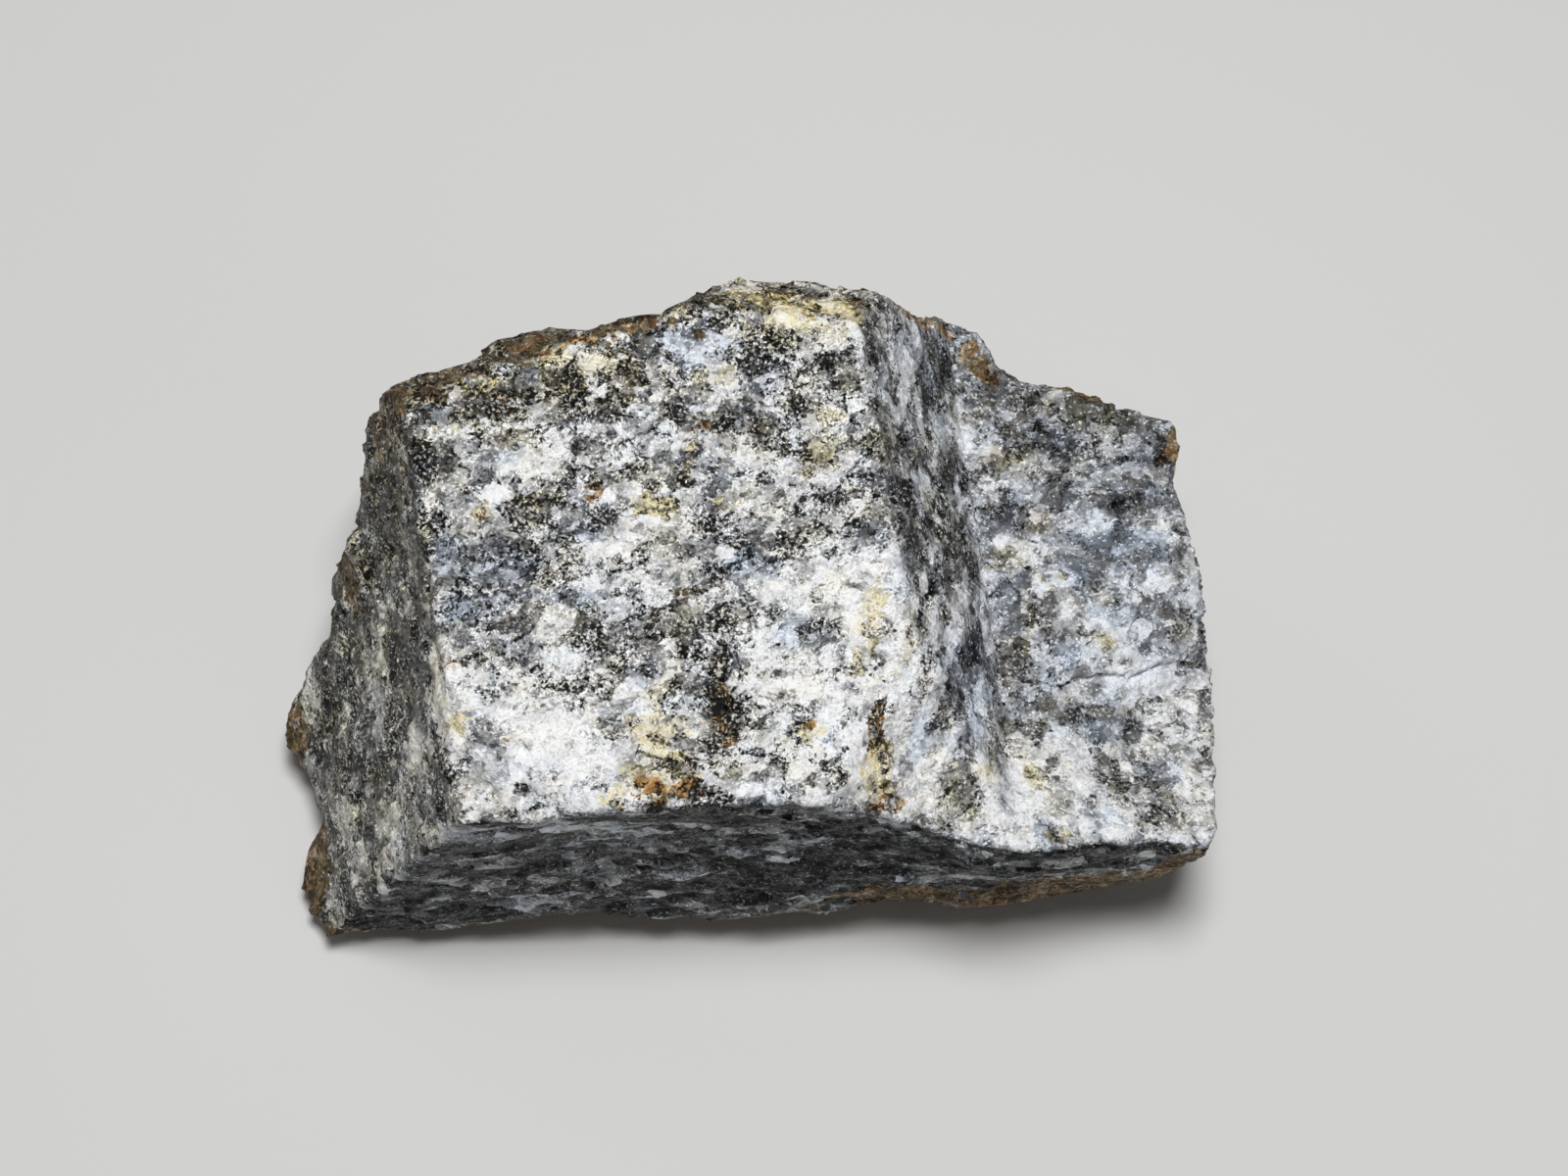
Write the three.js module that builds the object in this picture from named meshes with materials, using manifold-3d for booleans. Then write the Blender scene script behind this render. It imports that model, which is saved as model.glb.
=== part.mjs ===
// A hand specimen of scapolite rock: one broken block of coarse-grained gneiss, about 90 mm across.
// It has a broad upper face, steep faces to the left and the front, a wall on the right that drops to a
// lower shelf, and a rounded weathered underside that rests on a small flat spot.
//
// The stone is drawn square to its broad face: x runs across that face, y up it and z out of it.
// It is then leaned back by LEAN, so that its resting spot is level and +Z is up. Millimetres.

import * as THREE from "three";
import { mergeVertices } from "three/addons/utils/BufferGeometryUtils.js";
import Module from "manifold-3d";

const LEAN = 20; // degrees that the broad face's own z axis leans from the vertical
const REST_LEVEL = -36; // height of the resting spot, once leaned, against the point it is drawn from
const REST_MIDDLE = [-2, 2]; // the middle of the resting spot, once leaned
const ORIGIN_SHIFT = [4.5, -5.3]; // brings the middle of the leaned stone's box over the origin
const HEART = [12, -1, -20]; // a point deep in the stone, which every face looks away from
const FAR = 1000; // further than any face
const GRID_DETAIL = 20; // cuts along each edge of the icosahedron that the skin is drawn from
const GRID_STRETCH = [45, 31, 24]; // half sizes of the ellipsoid that spreads the grid evenly
const EVENING_PASSES = 12; // rounds that even out the grid before the last fit

const radians = THREE.MathUtils.degToRad;

// Each face: a point on it, the way it faces round the stone (degrees from +x towards +y), how far it
// tilts away from straight out, how rough it is (mm), and how bluntly it meets its neighbours (mm).
const face = (at, facing, tilt, rough = 0.45, blunt = 0.5) => {
  const across = Math.sin(radians(tilt));
  const out = [
    across * Math.cos(radians(facing)),
    across * Math.sin(radians(facing)),
    Math.cos(radians(tilt)),
  ];
  return { at, out, rough, blunt };
};

const BLOCK_FACES = {
  broad: face([-5, 3, 12], 95, 9),
  broadRight: face([10.5, -14, 12.5], 345, 34),
  broadLeft: face([-29, -18, 12.5], 215, 24),
  wall: face([9.2, 15, 9.5], 14, 66.5, 0.3),
};
const SHELF_FACES = {
  shelf: face([29, 0, -7.5], 70, 19, 0.4),
  shelfRight: face([42.5, -6, -9.8], 358, 36, 0.4, 3),
};
const TOE_FACES = {
  toe: face([25, -24.5, 4.2], 72, 34, 0.4),
};
const OUTER_FACES = {
  left: face([-33.1, 0, 12], 184.5, 63, 0.35),
  front: face([-7, -20.9, 15.5], 271.5, 69, 0.35),
  topLeft: face([-25, 20.2, 9.5], 106, 58, 0.6, 0.8),
  topCrown: face([1, 26, 8.5], 84, 60, 0.6, 0.8),
};

// A weathered face of the underside. It leaves the level of the resting spot at a distance from the
// middle of the spot, and rises away from it by that many degrees.
const CRUST_ROUGH = 0.55;
const CRUST_BLUNT = 5;
const underFace = (facing, distance, rise) => {
  const [level, steep] = [Math.cos(radians(rise)), Math.sin(radians(rise))];
  const [across, along] = [Math.cos(radians(facing)), Math.sin(radians(facing))];
  const leanOff = (v) => new THREE.Vector3(...v).applyAxisAngle(new THREE.Vector3(1, 0, 0), -radians(LEAN));
  const at = [REST_MIDDLE[0] + distance * across, REST_MIDDLE[1] + distance * along, REST_LEVEL];
  return {
    at: leanOff(at).toArray(),
    out: leanOff([steep * across, steep * along, -level]).toArray(),
    rough: CRUST_ROUGH,
    blunt: CRUST_BLUNT,
  };
};

const CRUST_FACES = {
  underLeft: underFace(176, 31, 17),
  underLeftFront: underFace(212, 33, 10),
  underFront: underFace(270, 18, 20),
  underRightFront: underFace(312, 26, 22),
  underRight: underFace(350, 27, 25),
  underRightBack: underFace(45, 17, 36),
  underBack: underFace(90, 12, 35),
  underLeftBack: underFace(135, 17, 33),
  backLeft: underFace(148, 40, 66),
  back: underFace(92, 27, 68),
  backRight: underFace(35, 34, 62),
};

// The stone's outline as seen square to its broad face, clockwise from the upper left corner.
const OUTLINE = [
  [-35.7, 20.5], [-30.8, 21.6], [-27.3, 24.1], [-23.7, 25.0], [-19.1, 24.6], [-15.4, 25.5],
  [-11.6, 26.0], [-8.8, 28.3], [-5.9, 29.1], [-3.0, 30.0], [0.5, 29.9], [3.9, 29.5],
  [7.8, 29.0], [9.8, 28.2], [13.2, 27.0], [16.3, 27.0], [19.7, 25.8], [21.8, 22.4],
  [24.2, 20.8], [29.1, 20.4], [33.5, 18.3], [39.3, 16.9], [40.2, 14.6], [39.4, 10.2],
  [41.0, 4.9], [41.9, 0.0], [42.8, -7.7], [42.4, -15.0], [42.6, -23.6], [41.2, -26.4],
  [37.8, -29.2], [30.8, -30.6], [23.7, -32.1], [17.8, -32.7], [13.4, -31.3], [8.9, -31.6],
  [5.0, -32.8], [-2.0, -33.4], [-9.6, -34.3], [-13.7, -34.0], [-18.5, -33.2], [-27.2, -33.9],
  [-36.0, -35.4], [-41.5, -38.2], [-48.6, -36.9], [-51.9, -31.0], [-49.6, -27.4], [-47.6, -24.0],
  [-50.2, -19.4], [-53.6, -14.8], [-51.0, -11.0], [-46.6, -4.8], [-45.5, 1.4], [-44.2, 3.7],
  [-42.3, 6.1], [-41.5, 11.7], [-41.6, 15.6], [-39.2, 18.6],
];
const OUTLINE_BLUNT = 1.2;
const OUTLINE_ROUGH = 0.5;

// Swells and hollows too broad for chips: where, how wide and how high, negative for a hollow.
const SWELLS = [
  { at: [-6, -24, 8], reach: 15, height: -0.9 },
  { at: [-12, 27, 5], reach: 6, height: 1.0 },
  { at: [28, -24, -2], reach: 6, height: 0.8 },
  { at: [20, -23, 2], reach: 4, height: 1.6 },
  { at: [-12, 12, 11], reach: 9, height: 0.6 },
  { at: [-50, -14.6, -24], reach: 2.4, height: 1.8 },
  { at: [-48.8, -31, -22], reach: 3.4, height: 1.3 },
];

// Steps and cracks across the broad face, the shelf and the left face. Each runs from one place to
// another, across and up the broad face. The side on its left hand stands out by lift and the other lies
// back by as much, both fading away over reach, and its crack is as deep as cut.
const crossing = (start, end, { lift = 0, cut = 0, reach = 5, width = 0.6 }) => {
  const span = [end[0] - start[0], end[1] - start[1]];
  const length = Math.hypot(...span);
  return { start, length, way: [span[0] / length, span[1] / length], lift, cut, reach, width };
};
const BREAKS = [
  crossing([12, 4.2], [-4, 5.2], { lift: -0.45, reach: 6 }),
  crossing([-6, 5.6], [-34, 4.6], { lift: -0.55, reach: 7 }),
  crossing([-4, 15.8], [-12, 12.5], { lift: -0.4, reach: 4 }),
  crossing([-15, 20.6], [-32, 15.6], { lift: -0.5, reach: 4 }),
  crossing([-5.6, -4.5], [-6.4, -13], { cut: 0.5, width: 0.5 }),
  crossing([8.4, -9], [9.6, -21], { lift: 0.4, cut: 0.7, reach: 4, width: 0.7 }),
  crossing([-24.5, -14], [-16, -18.2], { lift: 0.35, reach: 3 }),
  crossing([-15.5, -11], [-14.6, -20.5], { lift: 0.4, reach: 4 }),
  crossing([6.4, -1], [6.8, -10], { lift: 0.3, reach: 3 }),
  crossing([38.5, 9.5], [27, 6], { lift: -0.5, reach: 4 }),
  crossing([42, -6.5], [27, -10], { lift: -0.5, reach: 4 }),
  crossing([24.5, 2], [27, -13], { lift: 0.5, reach: 4 }),
  crossing([-37, 5], [-47, 2], { lift: -0.5, reach: 5 }),
  crossing([-36, -12], [-49, -15], { lift: 0.5, reach: 4 }),
];
const BREAK_FADE = [-2.5, 1.5]; // where a step or crack starts, and where it is full, past its end
const WAVER_SPAN = 3.2; // how far apart the turns of a step's wavering line are
const WAVER = 1.1; // how far it strays sideways

// Layers of broken relief: slow swelling, then flat-faced chips.
const SWELL_SPAN = 19;
const SWELL_HEIGHT = 1.1;
const CHIP_SPAN = 6.5;
const CHIP_TILT = 0.9;
const CHIP_STEP = 1.1;

const STONE_COLOUR = 0xa9acae;
const STONE_ROUGHNESS = 0.62;

const subtract = (a, b) => a.map((v, i) => v - b[i]);
const dot = (a, b) => a[0] * b[0] + a[1] * b[1] + a[2] * b[2];

// A repeatable random number from 0 to 1 for a whole-numbered place and a channel.
function chance(x, y, z, channel) {
  const s = Math.sin(x * 127.1 + y * 311.7 + z * 74.7 + channel * 53.3) * 43758.5453;
  return s - Math.floor(s);
}

// Smooth noise from -1 to 1, with one value per unit cell corner.
function swelling(point) {
  const cell = point.map(Math.floor);
  const t = point.map((v, i) => v - cell[i]).map((v) => v * v * (3 - 2 * v));
  let sum = 0;
  for (const i of [0, 1])
    for (const j of [0, 1])
      for (const k of [0, 1]) {
        const weight = (i ? t[0] : 1 - t[0]) * (j ? t[1] : 1 - t[1]) * (k ? t[2] : 1 - t[2]);
        sum += weight * chance(cell[0] + i, cell[1] + j, cell[2] + k, 0);
      }
  return 2 * sum - 1;
}

// A soft ramp that is 0 at low and 1 at high.
function smoothStep(low, high, value) {
  const t = Math.min(Math.max((value - low) / (high - low), 0), 1);
  return t * t * (3 - 2 * t);
}

// How far a step or crack moves the skin at a point, where its line strays sideways by waver.
function breakAt(point, waver, { start, length, way, lift, cut, reach, width }) {
  const away = [point[0] - start[0], point[1] - start[1]];
  const along = away[0] * way[0] + away[1] * way[1];
  const across = away[1] * way[0] - away[0] * way[1] + waver;
  const held = smoothStep(...BREAK_FADE, along) * smoothStep(...BREAK_FADE, length - along);
  const step = lift * Math.tanh(across / width) * Math.exp(-Math.abs(across) / reach);
  return held * (step - cut * Math.exp(-((across / width) ** 2)));
}

// Relief of chips: space is parted into uneven cells, and each has its own height and its own tilt.
function chipping(point) {
  const cell = point.map(Math.floor);
  let nearest = Infinity;
  let relief = 0;
  for (let i = -1; i <= 1; i++)
    for (let j = -1; j <= 1; j++)
      for (let k = -1; k <= 1; k++) {
        const at = [cell[0] + i, cell[1] + j, cell[2] + k];
        const centre = at.map((v, n) => v + chance(...at, n + 1));
        const away = subtract(point, centre);
        const distance = dot(away, away);
        if (distance < nearest) {
          nearest = distance;
          const lean = [4, 5, 6].map((n) => chance(...at, n) - 0.5);
          relief = CHIP_TILT * dot(lean, away) + CHIP_STEP * (chance(...at, 7) - 0.5);
        }
      }
  return relief;
}

// How far the rough skin stands out from the plain faces at a point, for a face of that roughness.
function reliefAt(point) {
  let broadly = SWELL_HEIGHT * swelling(point.map((v) => v / SWELL_SPAN + 7));
  for (const { at, reach, height } of SWELLS) {
    const away = subtract(point, at);
    broadly += height * Math.exp(-dot(away, away) / (2 * reach * reach));
  }
  const waver = WAVER * swelling(point.map((v) => v / WAVER_SPAN + 3));
  for (const one of BREAKS) broadly += breakAt(point, waver, one);
  return { broadly, chips: chipping(point.map((v) => v / CHIP_SPAN)) };
}

// The smaller of two distances, rounded where they are within blunt of each other.
function bluntMin(a, b, blunt) {
  const near = Math.max(blunt - Math.abs(a - b), 0) / blunt;
  return Math.min(a, b) - (near * near * blunt) / 4;
}

// How far along a direction from the heart a set of faces is met.
function reachOfFaces(faces, direction, relief) {
  let reach = FAR;
  for (const { at, out, rough, blunt } of Object.values(faces)) {
    const slope = dot(out, direction);
    if (slope < 0.02) continue;
    const clear = dot(out, subtract(at, HEART)) + relief.broadly + rough * relief.chips;
    reach = bluntMin(reach, clear / slope, blunt);
  }
  return reach;
}

// How far along a direction the upright wall over the outline is met.
function reachOfOutline(direction, relief) {
  let reach = Infinity;
  OUTLINE.forEach(([ax, ay], i) => {
    const [bx, by] = OUTLINE[(i + 1) % OUTLINE.length];
    const [ex, ey] = [bx - ax, by - ay];
    const cross = direction[0] * ey - direction[1] * ex;
    if (Math.abs(cross) < 1e-9) return;
    const [hx, hy] = [ax - HEART[0], ay - HEART[1]];
    const along = (hx * ey - hy * ex) / cross;
    const share = (hx * direction[1] - hy * direction[0]) / cross;
    if (along > 0 && share >= 0 && share < 1) reach = Math.min(reach, along);
  });
  const level = Math.hypot(direction[0], direction[1]);
  return reach + (OUTLINE_ROUGH * relief.chips) / Math.max(level, 0.2);
}

// The stone's skin along a direction: a block, a shelf and its toe, inside the faces that all three share.
function reachOfSkin(direction, relief) {
  const block = reachOfFaces(BLOCK_FACES, direction, relief);
  const shelf = reachOfFaces(SHELF_FACES, direction, relief);
  const toe = reachOfFaces(TOE_FACES, direction, relief);
  let reach = Math.max(block, shelf, toe);
  reach = bluntMin(reach, reachOfFaces(OUTER_FACES, direction, relief), 0.5);
  reach = bluntMin(reach, reachOfOutline(direction, relief), OUTLINE_BLUNT);
  return bluntMin(reach, reachOfFaces(CRUST_FACES, direction, relief), 3);
}

const NO_RELIEF = { broadly: 0, chips: 0 };
const pointAlong = (direction, reach) => direction.map((v, i) => HEART[i] + v * reach);
const plainPoint = (direction) => pointAlong(direction, reachOfSkin(direction, NO_RELIEF));
const skinPoint = (direction) =>
  pointAlong(direction, reachOfSkin(direction, reliefAt(plainPoint(direction))));

const unit = (v) => {
  const length = Math.sqrt(dot(v, v));
  return v.map((c) => c / length);
};

// A closed grid of directions, evened out over the stone's skin, and the skin drawn on it.
function makeSkin() {
  const ball = new THREE.IcosahedronGeometry(1, GRID_DETAIL - 1);
  ball.deleteAttribute("normal");
  ball.deleteAttribute("uv");
  const skin = mergeVertices(ball, 1e-5);
  const positions = skin.getAttribute("position");
  const corners = skin.index.array;
  const ends = Array.from({ length: positions.count }, () => new Set());
  for (let i = 0; i < corners.length; i += 3)
    for (let j = 0; j < 3; j++) ends[corners[i + j]].add(corners[i + ((j + 1) % 3)]);

  let directions = Array.from({ length: positions.count }, (_, i) =>
    unit([positions.getX(i), positions.getY(i), positions.getZ(i)].map((v, n) => v * GRID_STRETCH[n])),
  );
  for (let pass = 0; pass < EVENING_PASSES; pass++) {
    const points = directions.map(plainPoint);
    directions = points.map((_, i) => {
      const around = [...ends[i]].map((n) => points[n]);
      const middle = [0, 1, 2].map((n) => around.reduce((sum, p) => sum + p[n], 0) / around.length);
      return unit(subtract(middle, HEART));
    });
  }
  directions.map(skinPoint).forEach((p, i) => positions.setXYZ(i, ...p));
  return skin;
}

// Leans the stone back and cuts it off flat where it rests.
async function restOnFlatSpot(skin) {
  const wasm = await Module();
  wasm.setup();
  const solidOf = (geometry) =>
    new wasm.Manifold(
      new wasm.Mesh({
        numProp: 3,
        vertProperties: new Float32Array(geometry.getAttribute("position").array),
        triVerts: new Uint32Array(geometry.index.array),
      }),
    );
  skin.rotateX(radians(LEAN));
  skin.translate(ORIGIN_SHIFT[0], ORIGIN_SHIFT[1], -REST_LEVEL);

  const span = 200;
  const ground = new THREE.BoxGeometry(span, span, span).translate(0, 0, -span / 2);
  ground.deleteAttribute("normal");
  ground.deleteAttribute("uv");

  const cut = solidOf(skin).subtract(solidOf(mergeVertices(ground))).getMesh();
  const stone = new THREE.BufferGeometry();
  stone.setAttribute("position", new THREE.BufferAttribute(cut.vertProperties, 3));
  stone.setIndex(new THREE.BufferAttribute(cut.triVerts, 1));
  return stone;
}

const geometry = await restOnFlatSpot(makeSkin());
geometry.computeVertexNormals();
const material = new THREE.MeshStandardMaterial({
  color: STONE_COLOUR,
  roughness: STONE_ROUGHNESS,
  metalness: 0,
});
const stone = new THREE.Mesh(geometry, material);
stone.name = "scapolite_rock";

const specimen = new THREE.Group();
specimen.name = "scapolite_specimen";
specimen.add(stone);

export default specimen;
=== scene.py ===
"""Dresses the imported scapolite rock: a finely broken skin over the same faces, and the look of its grains.

The stone is drawn square to its broad face, as the solid is: x runs across that face, y up it and z out
of it, in millimetres. It is then leaned back so that it rests level, and put over the origin in metres.
"""

from __future__ import annotations

import logging
import math
from dataclasses import dataclass, field
from enum import Enum

import bpy
import numpy as np
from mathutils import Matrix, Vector

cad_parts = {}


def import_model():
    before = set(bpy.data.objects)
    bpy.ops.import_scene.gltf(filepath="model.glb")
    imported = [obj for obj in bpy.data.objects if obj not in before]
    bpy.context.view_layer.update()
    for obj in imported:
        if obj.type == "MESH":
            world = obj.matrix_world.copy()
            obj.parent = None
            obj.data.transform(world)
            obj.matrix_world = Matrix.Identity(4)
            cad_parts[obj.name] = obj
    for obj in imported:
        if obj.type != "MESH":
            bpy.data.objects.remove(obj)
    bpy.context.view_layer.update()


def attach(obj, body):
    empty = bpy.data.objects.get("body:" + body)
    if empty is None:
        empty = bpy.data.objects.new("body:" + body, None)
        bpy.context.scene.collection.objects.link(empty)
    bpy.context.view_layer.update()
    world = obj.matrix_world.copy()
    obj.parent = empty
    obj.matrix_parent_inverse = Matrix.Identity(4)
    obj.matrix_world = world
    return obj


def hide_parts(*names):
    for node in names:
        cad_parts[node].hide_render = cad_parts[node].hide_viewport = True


log = logging.getLogger("scapolite")

Point = tuple[float, float, float]
Stops = tuple[tuple[float, Point], ...]
Array = np.ndarray

MM = 0.001
FAR = 1000.0
# A direction that slopes away from a face by less than this hardly meets it.
GRAZING = 0.02
NODE = "scapolite_rock"


@dataclass(frozen=True)
class Face:
    """One broken face of the stone.

    Args:
        at: a point on the face, in mm.
        facing: the way it faces round the stone, in degrees from +x towards +y.
        tilt: how far it tilts away from straight out of the broad face, in degrees.
        rough: how deep its chips are, in mm.
        blunt: how bluntly it meets its neighbours, in mm.
        tone: how much paler its grains are than the stone's, negative for darker; on the front face, which is
            turned from the light, it is partly painted shade.
        cool: how much bluer they are, negative for yellower.
        lens: how far its grains show end on, as dark and pale lenses, 0 for not at all.
        specks: how strongly its specks and its painted glints show.
    """

    at: Point
    facing: float
    tilt: float
    rough: float = 0.45
    blunt: float = 0.5
    tone: float = 0.0
    cool: float = 0.0
    lens: float = 0.0
    specks: float = 1.0

    def outward(self) -> Array:
        """The face's outward direction."""
        across = math.sin(math.radians(self.tilt))
        turn = math.radians(self.facing)
        return np.array([across * math.cos(turn), across * math.sin(turn), math.cos(math.radians(self.tilt))])


@dataclass(frozen=True)
class Swell:
    """A swell or hollow too broad for chips: where, how wide and how high, negative for a hollow."""

    at: Point
    reach: float
    height: float


@dataclass(frozen=True)
class Break:
    """A step or a crack that runs across a face.

    Args:
        start: one end of it across and up the broad face, in mm.
        end: its other end.
        lift: how far the side on its left hand stands out, and the other side lies back, in mm.
        cut: how deep its crack is, in mm.
        reach: how far from it the step fades away, in mm.
        width: half the width of its crack and of its step's riser, in mm.
    """

    start: tuple[float, float]
    end: tuple[float, float]
    lift: float = 0.0
    cut: float = 0.0
    reach: float = 5.0
    width: float = 0.6

    def relief(self, points: Array, waver: Array) -> Array:
        """How far the break moves the skin at each point.

        Args:
            points: places in mm, as drawn.
            waver: how far its line strays sideways there, in mm.

        Returns:
            The relief, in mm.
        """
        start, end = np.array(self.start), np.array(self.end)
        length = np.linalg.norm(end - start)
        way = (end - start) / length
        away = points[:, :2] - start
        along = away @ way
        across = away @ np.array([-way[1], way[0]]) + waver
        held = smooth_step(-2.5, 1.5, along) * smooth_step(-2.5, 1.5, length - along)
        step = self.lift * np.tanh(across / self.width) * np.exp(-np.abs(across) / self.reach)
        return held * (step - self.cut * np.exp(-((across / self.width) ** 2)))


@dataclass(frozen=True)
class Chips:
    """One layer of flat-faced chips: how far apart, how strongly tilted and how high they step."""

    span: float
    tilt: float
    step: float


class Mineral(Enum):
    """What a patch of the broken faces is made of, or stained with."""

    WHITE = "white"
    BLUE = "blue"
    DARK = "dark"
    OLIVE = "olive"
    OCHRE = "ochre"
    RUST = "rust"
    CRUST = "weathered"


@dataclass(frozen=True)
class Patch:
    """A patch of one mineral or stain, which runs straight into the stone from the broad face.

    Args:
        mineral: what the patch is made of.
        at: its middle across and up the broad face, in mm.
        size: half its length and half its width, in mm.
        turn: degrees from +x towards +y that its length is turned by.
        strength: how strongly it shows.
    """

    mineral: Mineral
    at: tuple[float, float]
    size: tuple[float, float]
    turn: float = 0.0
    strength: float = 1.0

    def weight(self, points: Array) -> Array:
        """How strongly the patch holds at each point."""
        away = points[:, :2] - np.array(self.at)
        cos, sin = math.cos(math.radians(self.turn)), math.sin(math.radians(self.turn))
        along = (away[:, 0] * cos + away[:, 1] * sin) / self.size[0]
        across = (away[:, 1] * cos - away[:, 0] * sin) / self.size[1]
        return self.strength * np.exp(-0.7 * (along**2 + across**2) ** 1.5)


def patches_of(mineral: Mineral, rows: tuple[tuple[float, ...], ...]) -> list[Patch]:
    """Patches of one mineral.

    Args:
        mineral: what they are made of.
        rows: for each patch the place of its middle across and up, half its length, half its width, and where
            they aren't 0 and 1 its turn and its strength.

    Returns:
        The patches.
    """
    return [Patch(mineral, row[:2], row[2:4], *row[4:]) for row in rows]


def chance(cells: Array, channel: int) -> Array:
    """A repeatable random number from 0 to 1 for each whole-numbered place.

    Args:
        cells: whole-numbered places, one row each.
        channel: which of the place's random numbers.

    Returns:
        One number for each row.
    """
    wave = np.sin(cells @ np.array([127.1, 311.7, 74.7]) + channel * 53.3) * 43758.5453
    return wave - np.floor(wave)


def swelling(points: Array) -> Array:
    """Smooth noise from -1 to 1, with one value per unit cell corner."""
    cell = np.floor(points)
    t = points - cell
    t = t * t * (3 - 2 * t)
    total = np.zeros(len(points))
    for i in (0, 1):
        for j in (0, 1):
            for k in (0, 1):
                corner = np.array([i, j, k])
                weight = np.prod(np.where(corner == 1, t, 1 - t), axis=1)
                total += weight * chance(cell + corner, 0)
    return 2 * total - 1


def chipping(points: Array, layer: Chips) -> Array:
    """Relief of chips: space is parted into uneven cells, each with its own height and tilt.

    Args:
        points: places in mm.
        layer: the chips' span, tilt and step.

    Returns:
        The relief at each point, as a share of a face's roughness.
    """
    points = points / layer.span
    cell = np.floor(points)
    nearest = np.full(len(points), np.inf)
    relief = np.zeros(len(points))
    for i in (-1, 0, 1):
        for j in (-1, 0, 1):
            for k in (-1, 0, 1):
                at = cell + np.array([i, j, k])
                away = points - at - np.stack([chance(at, n) for n in (1, 2, 3)], axis=1)
                distance = np.einsum("ij,ij->i", away, away)
                closer = distance < nearest
                near, gap = at[closer], away[closer]
                lean = np.stack([chance(near, n) - 0.5 for n in (4, 5, 6)], axis=1)
                height = layer.step * (chance(near, 7) - 0.5)
                relief[closer] = layer.tilt * np.einsum("ij,ij->i", lean, gap) + height
                nearest = np.minimum(nearest, distance)
    return relief


def blunt_min(a: Array, b: Array, blunt: float) -> Array:
    """The smaller of two distances, rounded where they are within blunt of each other."""
    near = np.maximum(blunt - np.abs(a - b), 0) / blunt
    return np.minimum(a, b) - near * near * blunt / 4


def smooth_step(low: float, high: float, value: Array) -> Array:
    """A soft ramp that is 0 at low and 1 at high."""
    t = np.clip((value - low) / (high - low), 0, 1)
    return t * t * (3 - 2 * t)


def units(rows: Array) -> Array:
    """Each row scaled to length 1."""
    return rows / np.linalg.norm(rows, axis=1, keepdims=True)


def icosahedron() -> tuple[Array, Array]:
    """The corners and triangles of an icosahedron, facing out."""
    g = (1 + math.sqrt(5)) / 2
    points = [(-1, g, 0), (1, g, 0), (-1, -g, 0), (1, -g, 0), (0, -1, g), (0, 1, g)]
    points += [(0, -1, -g), (0, 1, -g), (g, 0, -1), (g, 0, 1), (-g, 0, -1), (-g, 0, 1)]
    triangles = [(0, 11, 5), (0, 5, 1), (0, 1, 7), (0, 7, 10), (0, 10, 11), (1, 5, 9), (5, 11, 4)]
    triangles += [(11, 10, 2), (10, 7, 6), (7, 1, 8), (3, 9, 4), (3, 4, 2), (3, 2, 6), (3, 6, 8)]
    triangles += [(3, 8, 9), (4, 9, 5), (2, 4, 11), (6, 2, 10), (8, 6, 7), (9, 8, 1)]
    return units(np.array(points, float)), np.array(triangles)


def split_triangles(points: Array, triangles: Array, cuts: int) -> tuple[Array, Array]:
    """Parts each triangle into cuts times cuts smaller ones, and merges the points they share.

    Args:
        points: the corners.
        triangles: three corner numbers a row.
        cuts: how many parts each edge is cut into.

    Returns:
        The new corners and triangles.
    """
    steps = [(i, j) for i in range(cuts + 1) for j in range(cuts + 1 - i)]
    number = {step: n for n, step in enumerate(steps)}
    shares = np.array([(cuts - i - j, i, j) for i, j in steps]) / cuts
    small = []
    for i, j in steps:
        if i + j < cuts:
            small.append((number[i, j], number[i + 1, j], number[i, j + 1]))
        if i + j < cuts - 1:
            small.append((number[i + 1, j], number[i + 1, j + 1], number[i, j + 1]))
    made = np.einsum("sc,tcx->tsx", shares, points[triangles]).reshape(-1, 3)
    _, first, which = np.unique(np.round(made, 6), axis=0, return_index=True, return_inverse=True)
    offsets = np.arange(len(triangles))[:, None, None] * len(steps)
    return made[first], which.reshape(-1)[(np.array(small)[None] + offsets).reshape(-1, 3)]


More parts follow.
